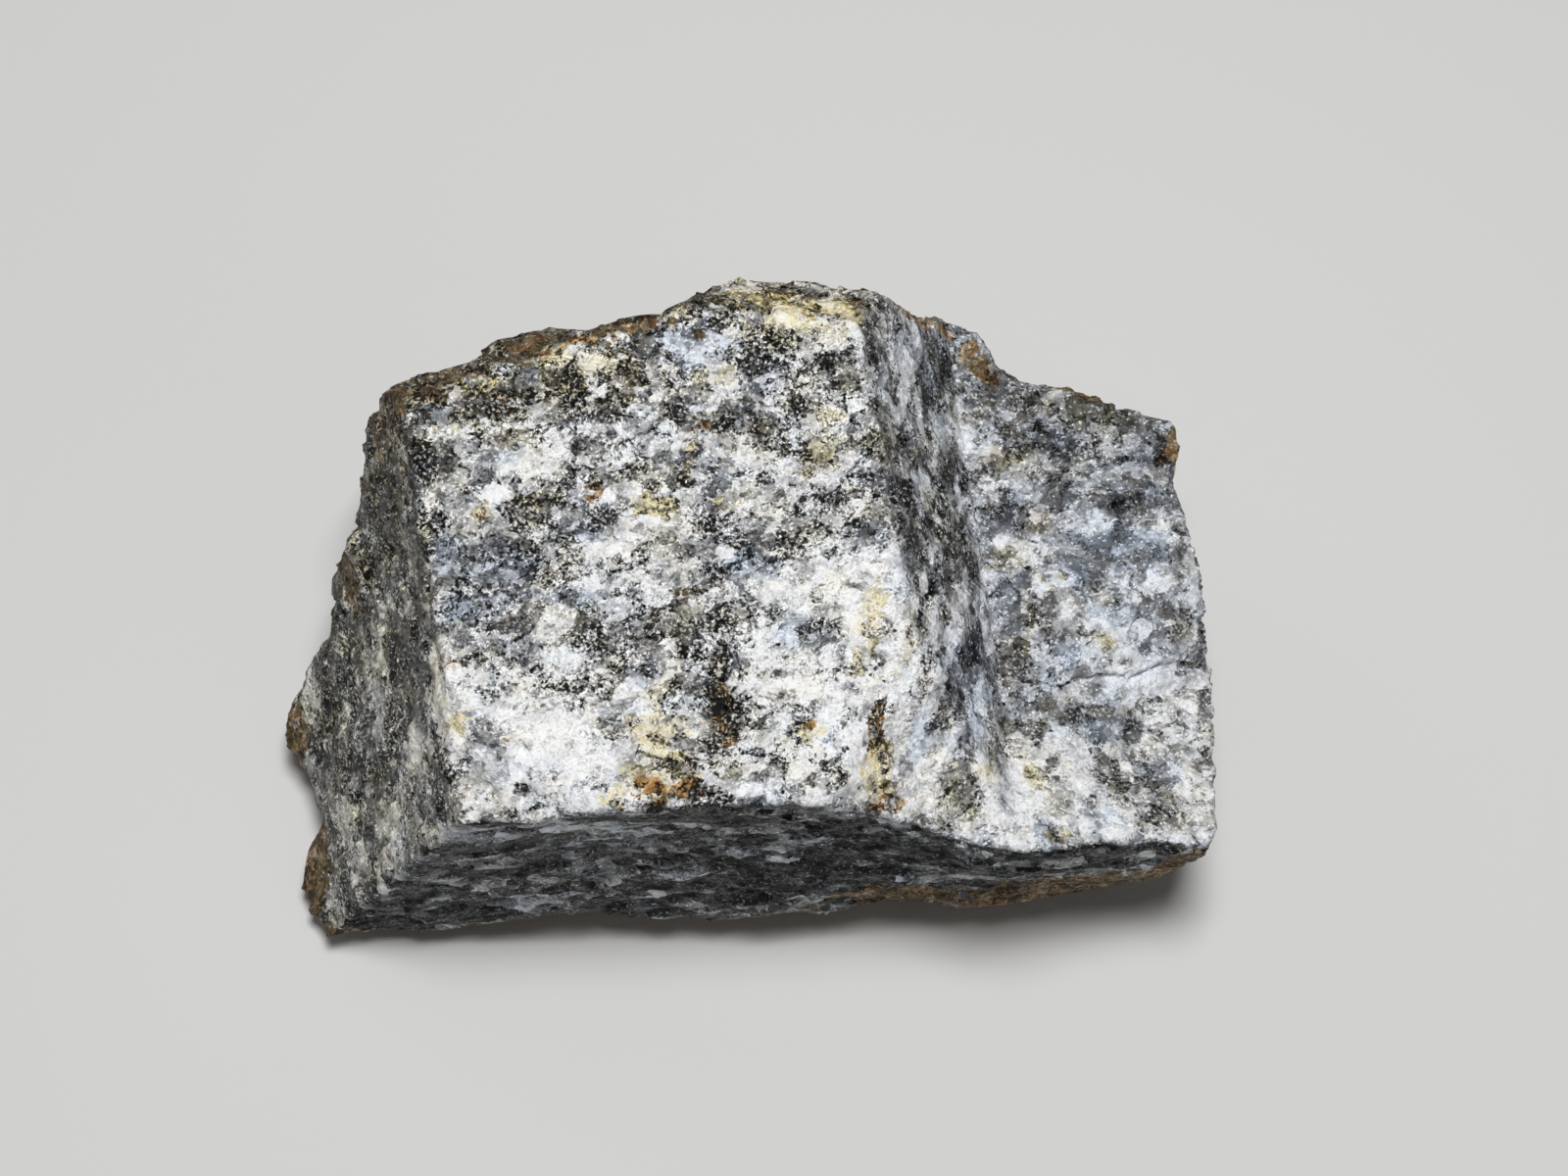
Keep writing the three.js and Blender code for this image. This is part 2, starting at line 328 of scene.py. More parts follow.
@dataclass
class StoneForm:
    """The stone's faces, outline and relief, and the fine skin drawn over them.

    It is drawn in mm with the broad face to +z, then leaned back by a number of degrees and put on the floor.
    The skin is met once in each direction from the heart. A blunt is how softly two parts meet, in mm.
    """

    lean: float = 20.0
    rest_level: float = -36.0
    rest_middle: tuple[float, float] = (-2.0, 2.0)
    origin_shift: tuple[float, float] = (4.5, -5.3)
    heart: Point = (12.0, -1.0, -20.0)
    # The skin's grid is a ball stretched like this, and is cut up and evened out in two rounds.
    grid_stretch: Point = (45.0, 31.0, 24.0)
    coarse_cuts: int = 14
    fine_cuts: int = 7
    coarse_passes: int = 12
    fine_passes: int = 3
    rim_blunt: float = 0.5
    outline_blunt: float = 1.2
    outline_rough: float = 0.5
    crust_rough: float = 0.55
    crust_blunt: float = 5.0
    crust_rim_blunt: float = 3.0
    face_blend: float = 0.7
    edge_widths: tuple[float, float] = (0.2, 1.5)
    crust_depths: tuple[float, float] = (-0.6, 0.9)
    # Chips lower than the first of these begin to get painted shade in their hollows, which is full at the
    # second.
    pit_shade_depths: tuple[float, float] = (0.0, -0.8)
    swell_span: float = 19.0
    swell_height: float = 1.1
    layers: tuple[Chips, ...] = (Chips(6.5, 0.9, 1.1), Chips(2.4, 0.85, 1.0), Chips(1.1, 0.6, 0.75))
    block: tuple[Face, ...] = (
        Face((-5, 3, 12), 95, 9, tone=0.045, cool=0.05, specks=1.2),
        Face((10.5, -14, 12.5), 345, 34, tone=0.13),
        Face((-29, -18, 12.5), 215, 24, tone=0.09, cool=0.1, specks=1.1),
        Face((9.2, 15, 9.5), 14, 66.5, 0.3, tone=0.02, cool=0.35, lens=0.8, specks=1.2),
    )
    shelf: tuple[Face, ...] = (
        Face((29, 0, -7.5), 70, 19, 0.4, tone=-0.01, cool=0.45, lens=0.2, specks=0.5),
        Face((42.5, -6, -9.8), 358, 36, 0.4, 3.0, tone=0.02, cool=0.35, lens=0.2, specks=0.6),
    )
    toe: tuple[Face, ...] = (Face((25, -24.5, 4.2), 72, 34, 0.4, tone=0.13, cool=0.1, specks=0.7),)
    outer: tuple[Face, ...] = (
        Face((-33.1, 0, 12), 184.5, 63, 0.35, tone=-0.12, cool=-0.45, lens=0.6, specks=1.15),
        # The front face's dark tone is partly its grains' own colour and partly painted shade.
        Face((-7, -20.9, 15.5), 271.5, 69, 0.35, tone=-0.44, cool=0.5, lens=1.3, specks=0.45),
        Face((-25, 20.2, 9.5), 106, 58, 0.6, 0.8, tone=-0.1, cool=-0.3),
        Face((1, 26, 8.5), 84, 60, 0.6, 0.8, tone=0.06, cool=-0.6),
    )
    # Weathered faces of the underside: the way each faces, where it leaves the resting level, and its rise.
    under: tuple[tuple[float, float, float], ...] = (
        (176, 31, 17), (212, 33, 10), (270, 18, 20), (312, 26, 22), (350, 27, 25), (45, 17, 36),
        (90, 12, 35), (135, 17, 33), (148, 40, 66), (92, 27, 68), (35, 34, 62),
    )  # fmt: skip
    # The outline seen square to the broad face.
    outline: tuple[tuple[float, float], ...] = (
        (-35.7, 20.5), (-30.8, 21.6), (-27.3, 24.1), (-23.7, 25.0), (-19.1, 24.6), (-15.4, 25.5),
        (-11.6, 26.0), (-8.8, 28.3), (-5.9, 29.1), (-3.0, 30.0), (0.5, 29.9), (3.9, 29.5), (7.8, 29.0),
        (9.8, 28.2), (13.2, 27.0), (16.3, 27.0), (19.7, 25.8), (21.8, 22.4), (24.2, 20.8), (29.1, 20.4),
        (33.5, 18.3), (39.3, 16.9), (40.2, 14.6), (39.4, 10.2), (41.0, 4.9), (41.9, 0.0), (42.8, -7.7),
        (42.4, -15.0), (42.6, -23.6), (41.2, -26.4), (37.8, -29.2), (30.8, -30.6), (23.7, -32.1),
        (17.8, -32.7), (13.4, -31.3), (8.9, -31.6), (5.0, -32.8), (-2.0, -33.4), (-9.6, -34.3),
        (-13.7, -34.0), (-18.5, -33.2), (-27.2, -33.9), (-36.0, -35.4), (-41.5, -38.2), (-48.6, -36.9),
        (-51.9, -31.0), (-49.6, -27.4), (-47.6, -24.0), (-50.2, -19.4), (-53.6, -14.8), (-51.0, -11.0),
        (-46.6, -4.8), (-45.5, 1.4), (-44.2, 3.7), (-42.3, 6.1), (-41.5, 11.7), (-41.6, 15.6),
        (-39.2, 18.6),
    )  # fmt: skip
    swells: tuple[Swell, ...] = (
        Swell((-6, -24, 8), 15, -0.9),
        Swell((-12, 27, 5), 6, 1.0),
        Swell((28, -24, -2), 6, 0.8),
        Swell((20, -23, 2), 4, 1.6),
        Swell((-12, 12, 11), 9, 0.6),
        Swell((-50, -14.6, -24), 2.4, 1.8),
        Swell((-48.8, -31, -22), 3.4, 1.3),
    )
    # Steps and cracks across the broad face, the shelf and the left face.
    breaks: tuple[Break, ...] = (
        Break((12, 4.2), (-4, 5.2), lift=-0.45, reach=6),
        Break((-6, 5.6), (-34, 4.6), lift=-0.55, reach=7),
        Break((-4, 15.8), (-12, 12.5), lift=-0.4, reach=4),
        Break((-15, 20.6), (-32, 15.6), lift=-0.5, reach=4),
        Break((-5.6, -4.5), (-6.4, -13), cut=0.5, width=0.5),
        Break((8.4, -9), (9.6, -21), lift=0.4, cut=0.7, reach=4, width=0.7),
        Break((-24.5, -14), (-16, -18.2), lift=0.35, reach=3),
        Break((-15.5, -11), (-14.6, -20.5), lift=0.4, reach=4),
        Break((6.4, -1), (6.8, -10), lift=0.3, reach=3),
        Break((38.5, 9.5), (27, 6), lift=-0.5, reach=4),
        Break((42, -6.5), (27, -10), lift=-0.5, reach=4),
        Break((24.5, 2), (27, -13), lift=0.5, reach=4),
        Break((-37, 5), (-47, 2), lift=-0.5, reach=5),
        Break((-36, -12), (-49, -15), lift=0.5, reach=4),
    )
    waver_span: float = 3.2
    waver: float = 1.1
    masks: dict[str, Array] = field(default_factory=dict)

    def lean_matrix(self) -> Array:
        """The turn that leans the stone back, for points as columns."""
        cos, sin = math.cos(math.radians(self.lean)), math.sin(math.radians(self.lean))
        return np.array([[1, 0, 0], [0, cos, -sin], [0, sin, cos]])

    def placed(self, points: Array) -> Array:
        """Drawn points in mm, leaned back and put over the origin, in metres."""
        shift = np.array([*self.origin_shift, -self.rest_level])
        return (points @ self.lean_matrix().T + shift) * MM

    def under_planes(self) -> list[tuple[Array, Array]]:
        """A point and the outward direction of each weathered face of the underside, as drawn."""
        planes = []
        for facing, distance, rise in self.under:
            level, steep = math.cos(math.radians(rise)), math.sin(math.radians(rise))
            way = np.array([math.cos(math.radians(facing)), math.sin(math.radians(facing))])
            at = np.array([*(np.array(self.rest_middle) + distance * way), self.rest_level])
            out = np.array([*(steep * way), -level])
            planes.append((at @ self.lean_matrix(), out @ self.lean_matrix()))
        return planes

    def relief(self, points: Array) -> tuple[Array, Array]:
        """How far the rough skin stands out from the plain faces.

        Args:
            points: places on the plain faces, in mm.

        Returns:
            The broad swelling in mm, and the chips as a share of a face's roughness.
        """
        broadly = self.swell_height * swelling(points / self.swell_span + 7)
        for swell in self.swells:
            away = points - np.array(swell.at)
            broadly += swell.height * np.exp(-np.einsum("ij,ij->i", away, away) / (2 * swell.reach**2))
        waver = self.waver * swelling(points / self.waver_span + 3)
        for one in self.breaks:
            broadly += one.relief(points, waver)
        return broadly, sum(chipping(points, layer) for layer in self.layers)

    def plane_reach(self, ways: Array, at: Array, outward: Array, relief: Array | float) -> Array:
        """How far one plane is met along each direction from the heart.

        Args:
            ways: unit directions from the heart.
            at: a point on the plane, in mm.
            outward: the plane's outward direction.
            relief: how far its skin stands out along each direction, in mm.

        Returns:
            The distances, in mm.
        """
        slope = ways @ outward
        clear = outward @ (at - np.array(self.heart)) + relief
        return np.where(slope < GRAZING, FAR, clear / np.maximum(slope, GRAZING))

    def face_reaches(self, faces: tuple[Face, ...], ways: Array, broadly: Array, chips: Array) -> list[Array]:
        """How far each face is met along each direction from the heart."""
        reaches = []
        for one in faces:
            relief = broadly + one.rough * chips
            reaches.append(self.plane_reach(ways, np.array(one.at), one.outward(), relief))
        return reaches

    def joined(self, faces: tuple[Face, ...], reaches: list[Array]) -> Array:
        """The nearest of several faces along each direction, blunted where they meet."""
        reach = np.full(len(reaches[0]), FAR)
        for one, met in zip(faces, reaches):
            reach = blunt_min(reach, met, one.blunt)
        return reach

    def crust_reach(self, ways: Array, broadly: Array, chips: Array) -> Array:
        """How far the weathered underside is met along each direction."""
        reach = np.full(len(ways), FAR)
        for at, out in self.under_planes():
            met = self.plane_reach(ways, at, out, broadly + self.crust_rough * chips)
            reach = blunt_min(reach, met, self.crust_blunt)
        return reach

    def outline_reach(self, ways: Array, chips: Array) -> Array:
        """How far the upright wall over the outline is met along each direction."""
        reach = np.full(len(ways), np.inf)
        corners = np.array(self.outline) - np.array(self.heart[:2])
        for (ax, ay), (bx, by) in zip(corners, np.roll(corners, -1, axis=0)):
            ex, ey = bx - ax, by - ay
            cross = ways[:, 0] * ey - ways[:, 1] * ex
            cross = np.where(np.abs(cross) < 1e-9, 1e-9, cross)
            along = (ax * ey - ay * ex) / cross
            share = (ax * ways[:, 1] - ay * ways[:, 0]) / cross
            met = (along > 0) & (share >= 0) & (share < 1)
            reach = np.where(met, np.minimum(reach, along), reach)
        reach = np.minimum(reach, FAR)
        return reach + self.outline_rough * chips / np.maximum(np.hypot(ways[:, 0], ways[:, 1]), 0.2)

    def rest_reach(self, ways: Array) -> Array:
        """How far the flat resting spot is met along each direction."""
        down = np.array([0, 0, -1]) @ self.lean_matrix()
        return self.plane_reach(ways, -self.rest_level * down, down, 0.0)

    def skin_reach(self, ways: Array, broadly: Array, chips: Array, keep_masks: bool = False) -> Array:
        """How far the stone's skin is met along each direction.

        Args:
            ways: unit directions from the heart.
            broadly: the broad swelling there, in mm.
            chips: the chips there, as a share of a face's roughness.
            keep_masks: whether the masks that the finish reads are worked out as well.

        Returns:
            The distance from the heart, in mm.
        """
        block = self.face_reaches(self.block, ways, broadly, chips)
        shelf = self.face_reaches(self.shelf, ways, broadly, chips)
        toe = self.face_reaches(self.toe, ways, broadly, chips)
        outer = self.face_reaches(self.outer, ways, broadly, chips)
        groups = ((self.block, block), (self.shelf, shelf), (self.toe, toe))
        stepped = np.stack([self.joined(faces, met) for faces, met in groups])
        fresh = blunt_min(stepped.max(axis=0), self.joined(self.outer, outer), self.rim_blunt)
        wall = self.outline_reach(ways, chips)
        crust = self.crust_reach(ways, broadly, chips)
        reach = blunt_min(fresh, wall, self.outline_blunt)
        reach = blunt_min(reach, crust, self.crust_rim_blunt)
        if keep_masks:
            self.keep_masks(stepped, groups, outer, np.minimum(crust, wall))
            # The hollows among the chips, which the finish darkens with painted shade.
            self.masks["pit_shade"] = smooth_step(*self.pit_shade_depths, chips)
        return np.minimum(reach, self.rest_reach(ways))

    def keep_masks(self, stepped: Array, groups: tuple, outer: list[Array], crust: Array) -> None:
        """Works out where the crust, the ridges and each face's own tone lie; on the front face that tone is
        partly painted shade.

        Args:
            stepped: how far each group of the upper side is met, a row each.
            groups: each group's faces, and how far each of them is met.
            outer: how far each outer face is met.
            crust: how far the weathered skin is met.
        """
        faces, reaches = list(self.outer), list(outer)
        highest = stepped.argmax(axis=0)
        for number, (members, met) in enumerate(groups):
            faces += members
            reaches += [np.where(highest == number, one, FAR) for one in met]
        met = np.stack(reaches, axis=1)
        order = np.sort(met, axis=1)
        share = np.exp(-(met - order[:, :1]) / self.face_blend)
        share /= share.sum(axis=1, keepdims=True)
        for name in ("tone", "cool", "lens", "specks"):
            self.masks[name] = share @ np.array([getattr(one, name) for one in faces])
        self.masks["edge"] = 1 - smooth_step(*self.edge_widths, order[:, 1] - order[:, 0])
        self.masks["crust"] = smooth_step(*self.crust_depths, order[:, 0] - crust)

    def plain_points(self, ways: Array) -> Array:
        """The points of the plain skin, without relief, along directions from the heart."""
        flat = np.zeros(len(ways))
        return np.array(self.heart) + ways * self.skin_reach(ways, flat, flat)[:, None]

    def evened(self, ways: Array, triangles: Array, passes: int) -> Array:
        """Directions moved so that the skin's points are spread evenly."""
        ends = np.concatenate([triangles[:, [0, 1]], triangles[:, [1, 2]], triangles[:, [2, 0]]])
        count = np.bincount(ends[:, 0], minlength=len(ways))
        for _ in range(passes):
            ahead = self.plain_points(ways)[ends[:, 1]]
            around = [np.bincount(ends[:, 0], weights=ahead[:, n], minlength=len(ways)) for n in range(3)]
            ways = units(np.stack(around, axis=1) / count[:, None] - np.array(self.heart))
        return ways

    def draw(self) -> tuple[Array, Array]:
        """The fine skin: its points in mm, as drawn, and its triangles."""
        points, triangles = icosahedron()
        points, triangles = split_triangles(points, triangles, self.coarse_cuts)
        ways = self.evened(units(points * np.array(self.grid_stretch)), triangles, self.coarse_passes)
        points, triangles = split_triangles(self.plain_points(ways), triangles, self.fine_cuts)
        ways = self.evened(units(points - np.array(self.heart)), triangles, self.fine_passes)
        broadly, chips = self.relief(self.plain_points(ways))
        reach = self.skin_reach(ways, broadly, chips, keep_masks=True)
        return np.array(self.heart) + ways * reach[:, None], triangles


@dataclass(frozen=True)
class Waves:
    """A kind of noise: how many waves fit in a mm, how many finer layers it has, and how strong they are."""

    scale: float
    detail: float
    rough: float


@dataclass(frozen=True)
class Ramp:
    """A soft ramp: where it begins and ends, and what it gives before and after."""

    low: float
    high: float
    before: float = 0.0
    after: float = 1.0


@dataclass
class NodeBench:
    """A small helper that adds and links the shader nodes of one material."""

    tree: bpy.types.NodeTree

    def add(self, kind: str, inputs: dict | None = None, **settings: object) -> bpy.types.Node:
        """Adds a node.

        Args:
            kind: the node's type name.
            inputs: socket names or numbers, each with a value or the socket that feeds it.
            settings: the node's own settings.

        Returns:
            The new node.
        """
        node = self.tree.nodes.new(kind)
        for name, value in settings.items():
            setattr(node, name, value)
        for name, value in (inputs or {}).items():
            if isinstance(value, bpy.types.NodeSocket):
                self.tree.links.new(value, node.inputs[name])
            else:
                node.inputs[name].default_value = value
        return node

    def math(self, operation: str, *values: object, clamp: bool = False) -> bpy.types.NodeSocket:
        """The result of a math node on values or sockets."""
        node = self.add("ShaderNodeMath", dict(enumerate(values)), operation=operation, use_clamp=clamp)
        return node.outputs[0]

    def scaled(self, value: object, by: float, plus: float = 0.0) -> bpy.types.NodeSocket:
        """A value times a number, plus another."""
        return self.add("ShaderNodeMath", {0: value, 1: by, 2: plus}, operation="MULTIPLY_ADD").outputs[0]

    def swing(self, value: object, most: float) -> bpy.types.NodeSocket:
        """A value from 0 to 1 as one that swings as far either side of 0."""
        return self.scaled(value, 2 * most, -most)

    def total(self, *values: object) -> bpy.types.NodeSocket:
        """The sum of several values or sockets."""
        summed = values[0]
        for value in values[1:]:
            summed = self.math("ADD", value, summed)
        return summed

    def scaled_vector(self, value: object, by: float) -> bpy.types.NodeSocket:
        """A vector times a number."""
        return self.add("ShaderNodeVectorMath", {0: value, 3: by}, operation="SCALE").outputs[0]

    def centred(self, value: object) -> bpy.types.NodeSocket:
        """Three numbers from 0 to 1 as a vector round 0."""
        return self.vector("SUBTRACT", value, (0.5, 0.5, 0.5))

    def normal(self) -> bpy.types.NodeSocket:
        """The way that the surface faces."""
        return self.add("ShaderNodeNewGeometry").outputs["Normal"]

    def vector(self, operation: str, *values: object) -> bpy.types.NodeSocket:
        """The result of a vector math node."""
        return self.add("ShaderNodeVectorMath", dict(enumerate(values)), operation=operation).outputs[0]

    def ramped(self, value: object, ramp: Ramp) -> bpy.types.NodeSocket:
        """A value read from a soft ramp."""
        inputs = {"Value": value, "From Min": ramp.low, "From Max": ramp.high}
        inputs |= {"To Min": ramp.before, "To Max": ramp.after}
        return self.add("ShaderNodeMapRange", inputs, interpolation_type="SMOOTHSTEP").outputs[0]

    def mix(self, share: object, first: object, second: object, blend: str = "MIX") -> bpy.types.NodeSocket:
        """Two colours mixed by a share."""
        inputs = {0: share, 6: first, 7: second}
        return self.add("ShaderNodeMix", inputs, data_type="RGBA", blend_type=blend).outputs[2]

    def coloured(self, value: object, stops: Stops, soft: bool = True) -> bpy.types.NodeSocket:
        """A colour read from a row of stops."""
        node = self.add("ShaderNodeValToRGB", {0: value})
        node.color_ramp.interpolation = "LINEAR" if soft else "CONSTANT"
        elements = node.color_ramp.elements
        while len(elements) < len(stops):
            elements.new(0.5)
        for element, (place, colour) in zip(elements, stops):
            element.position = place
            element.color = (*colour, 1)
        return node.outputs[0]

    def noise(self, where: object, waves: Waves, output: str = "Fac") -> bpy.types.NodeSocket:
        """Noise as a number, or as a colour of three of them."""
        inputs = {"Vector": where, "Scale": waves.scale, "Detail": waves.detail, "Roughness": waves.rough}
        return self.add("ShaderNodeTexNoise", inputs).outputs[output]

    def attribute(self, name: str) -> bpy.types.NodeSocket:
        """A number stored on the mesh."""
        return self.add("ShaderNodeAttribute", attribute_name=name).outputs["Fac"]


@dataclass(frozen=True)
class GrainLook:
    """The finish of the stone: grains of scapolite, feldspar and mica, stains, and a brown crust, with
    painted shade on its rims, in its pits and on its front face, and painted glints.

    Sizes are in mm, tones run from 0, black, to 1, white, and hues from 0, bluish, to 1, yellowish.
    """

    grain: float = 1.7
    crumb: float = 0.7
    speck: float = 0.3
    glint: float = 0.2
    # The grains are drawn out along a line, turned this many degrees from +x towards +y.
    lineation: float = 14.0
    stretch: float = 1.3
    # Where steep faces cut grains end on, they are drawn out level, by scaling places by these.
    lens_shapes: tuple[Point, Point] = ((0.42, 0.42, 0.62), (0.5, 0.5, 0.58))
    # How noise bends the grains' edges, and how far, in mm.
    grain_warp: tuple[Waves, float] = (Waves(1.1 / 1.7, 3, 0.6), 1.8)
    speck_warp: tuple[Waves, float] = (Waves(1.6, 3, 0.6), 0.64)
    lens_warp: tuple[Waves, float] = (Waves(0.35, 3, 0.6), 0.96)
    clouds: Waves = Waves(1 / 6.5, 3, 0.6)
    mottling: Waves = Waves(1 / 2.6, 5, 0.66)
    powder: Waves = Waves(1.5, 4, 0.8)
    hue_drift: Waves = Waves(0.24, 5, 0.65)
    edge_stray: Waves = Waves(0.6, 4, 0.6)
    crust_mottling: Waves = Waves(0.7, 6, 0.68)
    crust_weather: Waves = Waves(0.11, 4, 0.6)
    grit: Waves = Waves(1.6, 4, 0.7)
    # The way that the broken side as a whole faces: up, and 20 degrees forward.
    up: Point = (0.0, -0.342, 0.94)
    middle_tone: float = 0.688
    blackest: float = 0.06
    tone_power: float = 2.2
    # How far clouds, mottling, each grain and each crumb move the tone, and the same for grains cut end on.
    tone_swings: tuple[float, float, float, float] = (0.1, 0.23, 0.21, 0.15)
    lens_swings: tuple[float, float] = (0.31, 0.21)
    # How much of their mottling the faces that cut grains end on lose.
    lens_plainness: float = 0.85
    # Painted shade: rims that turn away from the broad face, and so from the light, are made darker.
    painted_rim_shade: Ramp = Ramp(0.2, 0.6, -0.2, 0.0)
    # Tones below the first of these are lifted by a share, and tones above the second are held back by one.
    shadow: tuple[float, float] = (0.5, 0.6)
    dazzle: tuple[float, float] = (0.87, 0.45)
    # Painted glints: which specks glint, how much paler their painted highlight makes them, and how pale they
    # are at least, with and for specks.
    painted_glinting: Ramp = Ramp(0.9, 0.94)
    painted_glint_lift: float = 0.36
    painted_glint_least: tuple[float, float] = (0.36, 0.34)
    # How full of specks each grain is, from a glassy one to a crushed one, and how much less so in blue ones.
    crushing: Ramp = Ramp(0.25, 0.6, 0.35, 1.2)
    crushing_swing: float = 0.15
    blue_calm: float = 0.35
    # How many black specks lie on a tone, how many more in dark patches, and how dark they are.
    crowding: Ramp = Ramp(0.3, 0.9, 0.6, 0.0)
    dark_crowding: float = 0.08
    blackening: Ramp = Ramp(-0.02, 0.05, 0.0, -0.38)
    # How far dust's dots and its powder move the tone, and how much of that each tone shows.
    dust_swings: tuple[float, float] = (0.25, 0.65)
    dusting: Ramp = Ramp(0.6, 1.0, 1.0, 0.45)
    # How far noise, grains and crumbs move the edges of patches and crust, and how sharp those are.
    stray_swings: tuple[float, float, float] = (0.65, 0.21, 0.18)
    patch_edge: Ramp = Ramp(0.34, 0.5)
    crust_edge: Ramp = Ramp(0.38, 0.56)
    # A patch holds in full where its weight is more than 1 over this.
    patch_gain: float = 4.0
    rust_gaps: Ramp = Ramp(0.45, 0.65)
    crust_wear: Ramp = Ramp(0.15, 0.45, 0.0, -0.75)
    # How much paler each mineral or stain, each edge and each pit is; the pits' darkening is painted shade.
    tone_shifts: tuple[tuple[str, float], ...] = (
        ("white", 0.27), ("blue", -0.19), ("dark", -0.21), ("olive", -0.16), ("ochre", -0.1),
        ("rust", -0.22), ("edge", 0.12), ("pit_shade", -0.18),
    )  # fmt: skip
    # The middle of the hue's noise, how far each crumb moves it, and how strongly it shows, by tone.
    hue_middle: float = 0.48
    hue_swing: float = 0.08
    hue_strength: tuple[float, float] = (2.5, -2.0)
    # How much yellower each of these is.
    hue_shifts: tuple[tuple[str, float], ...] = (
        ("cool", -0.3), ("blue", -0.2), ("olive", 0.22), ("dark", 0.1),
    )  # fmt: skip
    tints: Stops = (
        (0.12, (0.81, 0.91, 1.06)),
        (0.3, (0.89, 0.95, 1.03)),
        (0.46, (0.97, 0.985, 1.0)),
        (0.56, (1.0, 0.99, 0.965)),
        (0.72, (1.0, 0.965, 0.83)),
        (0.95, (1.0, 0.9, 0.58)),
    )
    ochres: Stops = ((0.1, (1.0, 0.96, 0.86)), (0.9, (0.95, 0.85, 0.58)))
    rusts: Stops = ((0.1, (0.94, 0.77, 0.54)), (0.9, (0.62, 0.36, 0.16)))
    crust_skin: Stops = (
        (0.3, (0.014, 0.011, 0.006)),
        (0.42, (0.06, 0.042, 0.022)),
        (0.5, (0.15, 0.1, 0.05)),
        (0.58, (0.32, 0.19, 0.085)),
        (0.68, (0.5, 0.38, 0.22)),
        (0.8, (0.6, 0.54, 0.44)),
    )
    crust_grains: Stops = (
        (0.0, (0.012, 0.011, 0.007)),
        (0.24, (0.09, 0.075, 0.035)),
        (0.44, (0.27, 0.22, 0.13)),
        (0.58, (0.52, 0.46, 0.34)),
        (0.68, (0.12, 0.04, 0.018)),
        (0.76, (0.36, 0.19, 0.085)),
        (0.86, (0.66, 0.61, 0.53)),
        (0.94, (0.05, 0.04, 0.02)),
    )
    # How much of the crust is grains, and how bright its grains and its weathering make it.
    crust_grain_share: Ramp = Ramp(0.4, 0.6, 0.15, 0.62)
    crust_glitter: tuple[float, float] = (0.9, 0.55)
    crust_fading: Ramp = Ramp(0.36, 0.64, 0.72, 1.3)
    shine: float = 0.22
    crumb_roughness: Ramp = Ramp(0.3, 0.8, 0.34, 0.62)
    glint_roughness: Ramp = Ramp(0.86, 0.9, 0.0, -0.25)
    crust_roughness: float = 0.3
    # How far each grain, crumb and speck leans, and how strong and how high in mm the grit is.
    leans: tuple[float, float, float] = (0.35, 0.55, 0.5)
    grit_strength: float = 0.6
    grit_height: float = 0.6

    def build(self) -> bpy.types.Material:
        """Makes the material."""
        material = bpy.data.materials.new("scapolite_rock_grains")
        material.use_nodes = True
        bench = NodeBench(material.node_tree)
        shader = material.node_tree.nodes["Principled BSDF"]
        shader.inputs["Specular IOR Level"].default_value = self.shine
        where = bench.scaled_vector(bench.add("ShaderNodeTexCoord").outputs["Object"], 1 / MM)
        turn = (0, 0, math.radians(self.lineation))
        along = {"Vector": where, "Rotation": turn, "Scale": (self.stretch, 1, 1)}
        drawn = bench.add("ShaderNodeMapping", along, vector_type="TEXTURE").outputs[0]
        bent = self.warped(bench, drawn, *self.grain_warp)
        crumbled = self.warped(bench, where, *self.speck_warp)
        grain = self.cells(bench, bent, self.grain)
        crumb = self.cells(bench, bent, self.crumb)
        speck = self.cells(bench, crumbled, self.speck)
        glint = self.cells(bench, crumbled, self.glint)
        cells = (grain, crumb, speck, glint)
        ragged = self.raggedness(bench, where, grain, crumb)
        zones = {mineral.value: self.zone(bench, ragged, mineral) for mineral in Mineral}
        broken = bench.ramped(bench.total(crumb[1], bench.scaled(speck[1], 0.5)), self.rust_gaps)
        zones["rust"] = bench.math("MULTIPLY", zones["rust"], broken)
        crust = self.crust_zone(bench, ragged, zones["weathered"])
        zones.update({name: bench.attribute(name) for name in ("edge", "pit_shade", "cool")})
        tone = self.tone(bench, bent, cells, zones, self.lenses(bench, where))
        fresh = self.fresh_colour(bench, bent, tone, crumb, zones)
        colour = bench.mix(crust, fresh, self.crust_colour(bench, where, cells))
        links = material.node_tree.links
        links.new(colour, shader.inputs["Base Color"])
        links.new(self.roughness(bench, crumb, glint, crust), shader.inputs["Roughness"])
        links.new(self.bumps(bench, bent, grain, crumb, speck), shader.inputs["Normal"])
        return material

    def warped(self, bench: NodeBench, where: object, waves: Waves, by: float) -> bpy.types.NodeSocket:
        """Places moved about by noise, so that no grain has a straight edge.

        Args:
            bench: the material's bench.
            where: the places, in mm.
            waves: the noise that moves them.
            by: how wide the range of their moves is, in mm.

        Returns:
            The moved places.
        """
        wobble = bench.noise(where, waves, output="Color")
        return bench.vector("ADD", where, bench.scaled_vector(bench.centred(wobble), by))

    def cells(self, bench: NodeBench, where: object, span: float) -> list[bpy.types.NodeSocket]:
        """Three random numbers for each grain of about that many mm."""
        grains = bench.add("ShaderNodeTexVoronoi", {"Vector": where, "Scale": 1 / span})
        return list(bench.add("ShaderNodeSeparateColor", {0: grains.outputs["Color"]}).outputs)

    def raggedness(self, bench: NodeBench, where: object, grain: list, crumb: list) -> bpy.types.NodeSocket:
        """How far a zone's edge strays, grain by grain, so that zones end at the edges of grains."""
        strays = (bench.noise(where, self.edge_stray), grain[1], crumb[1])
        return bench.total(*map(bench.swing, strays, self.stray_swings))

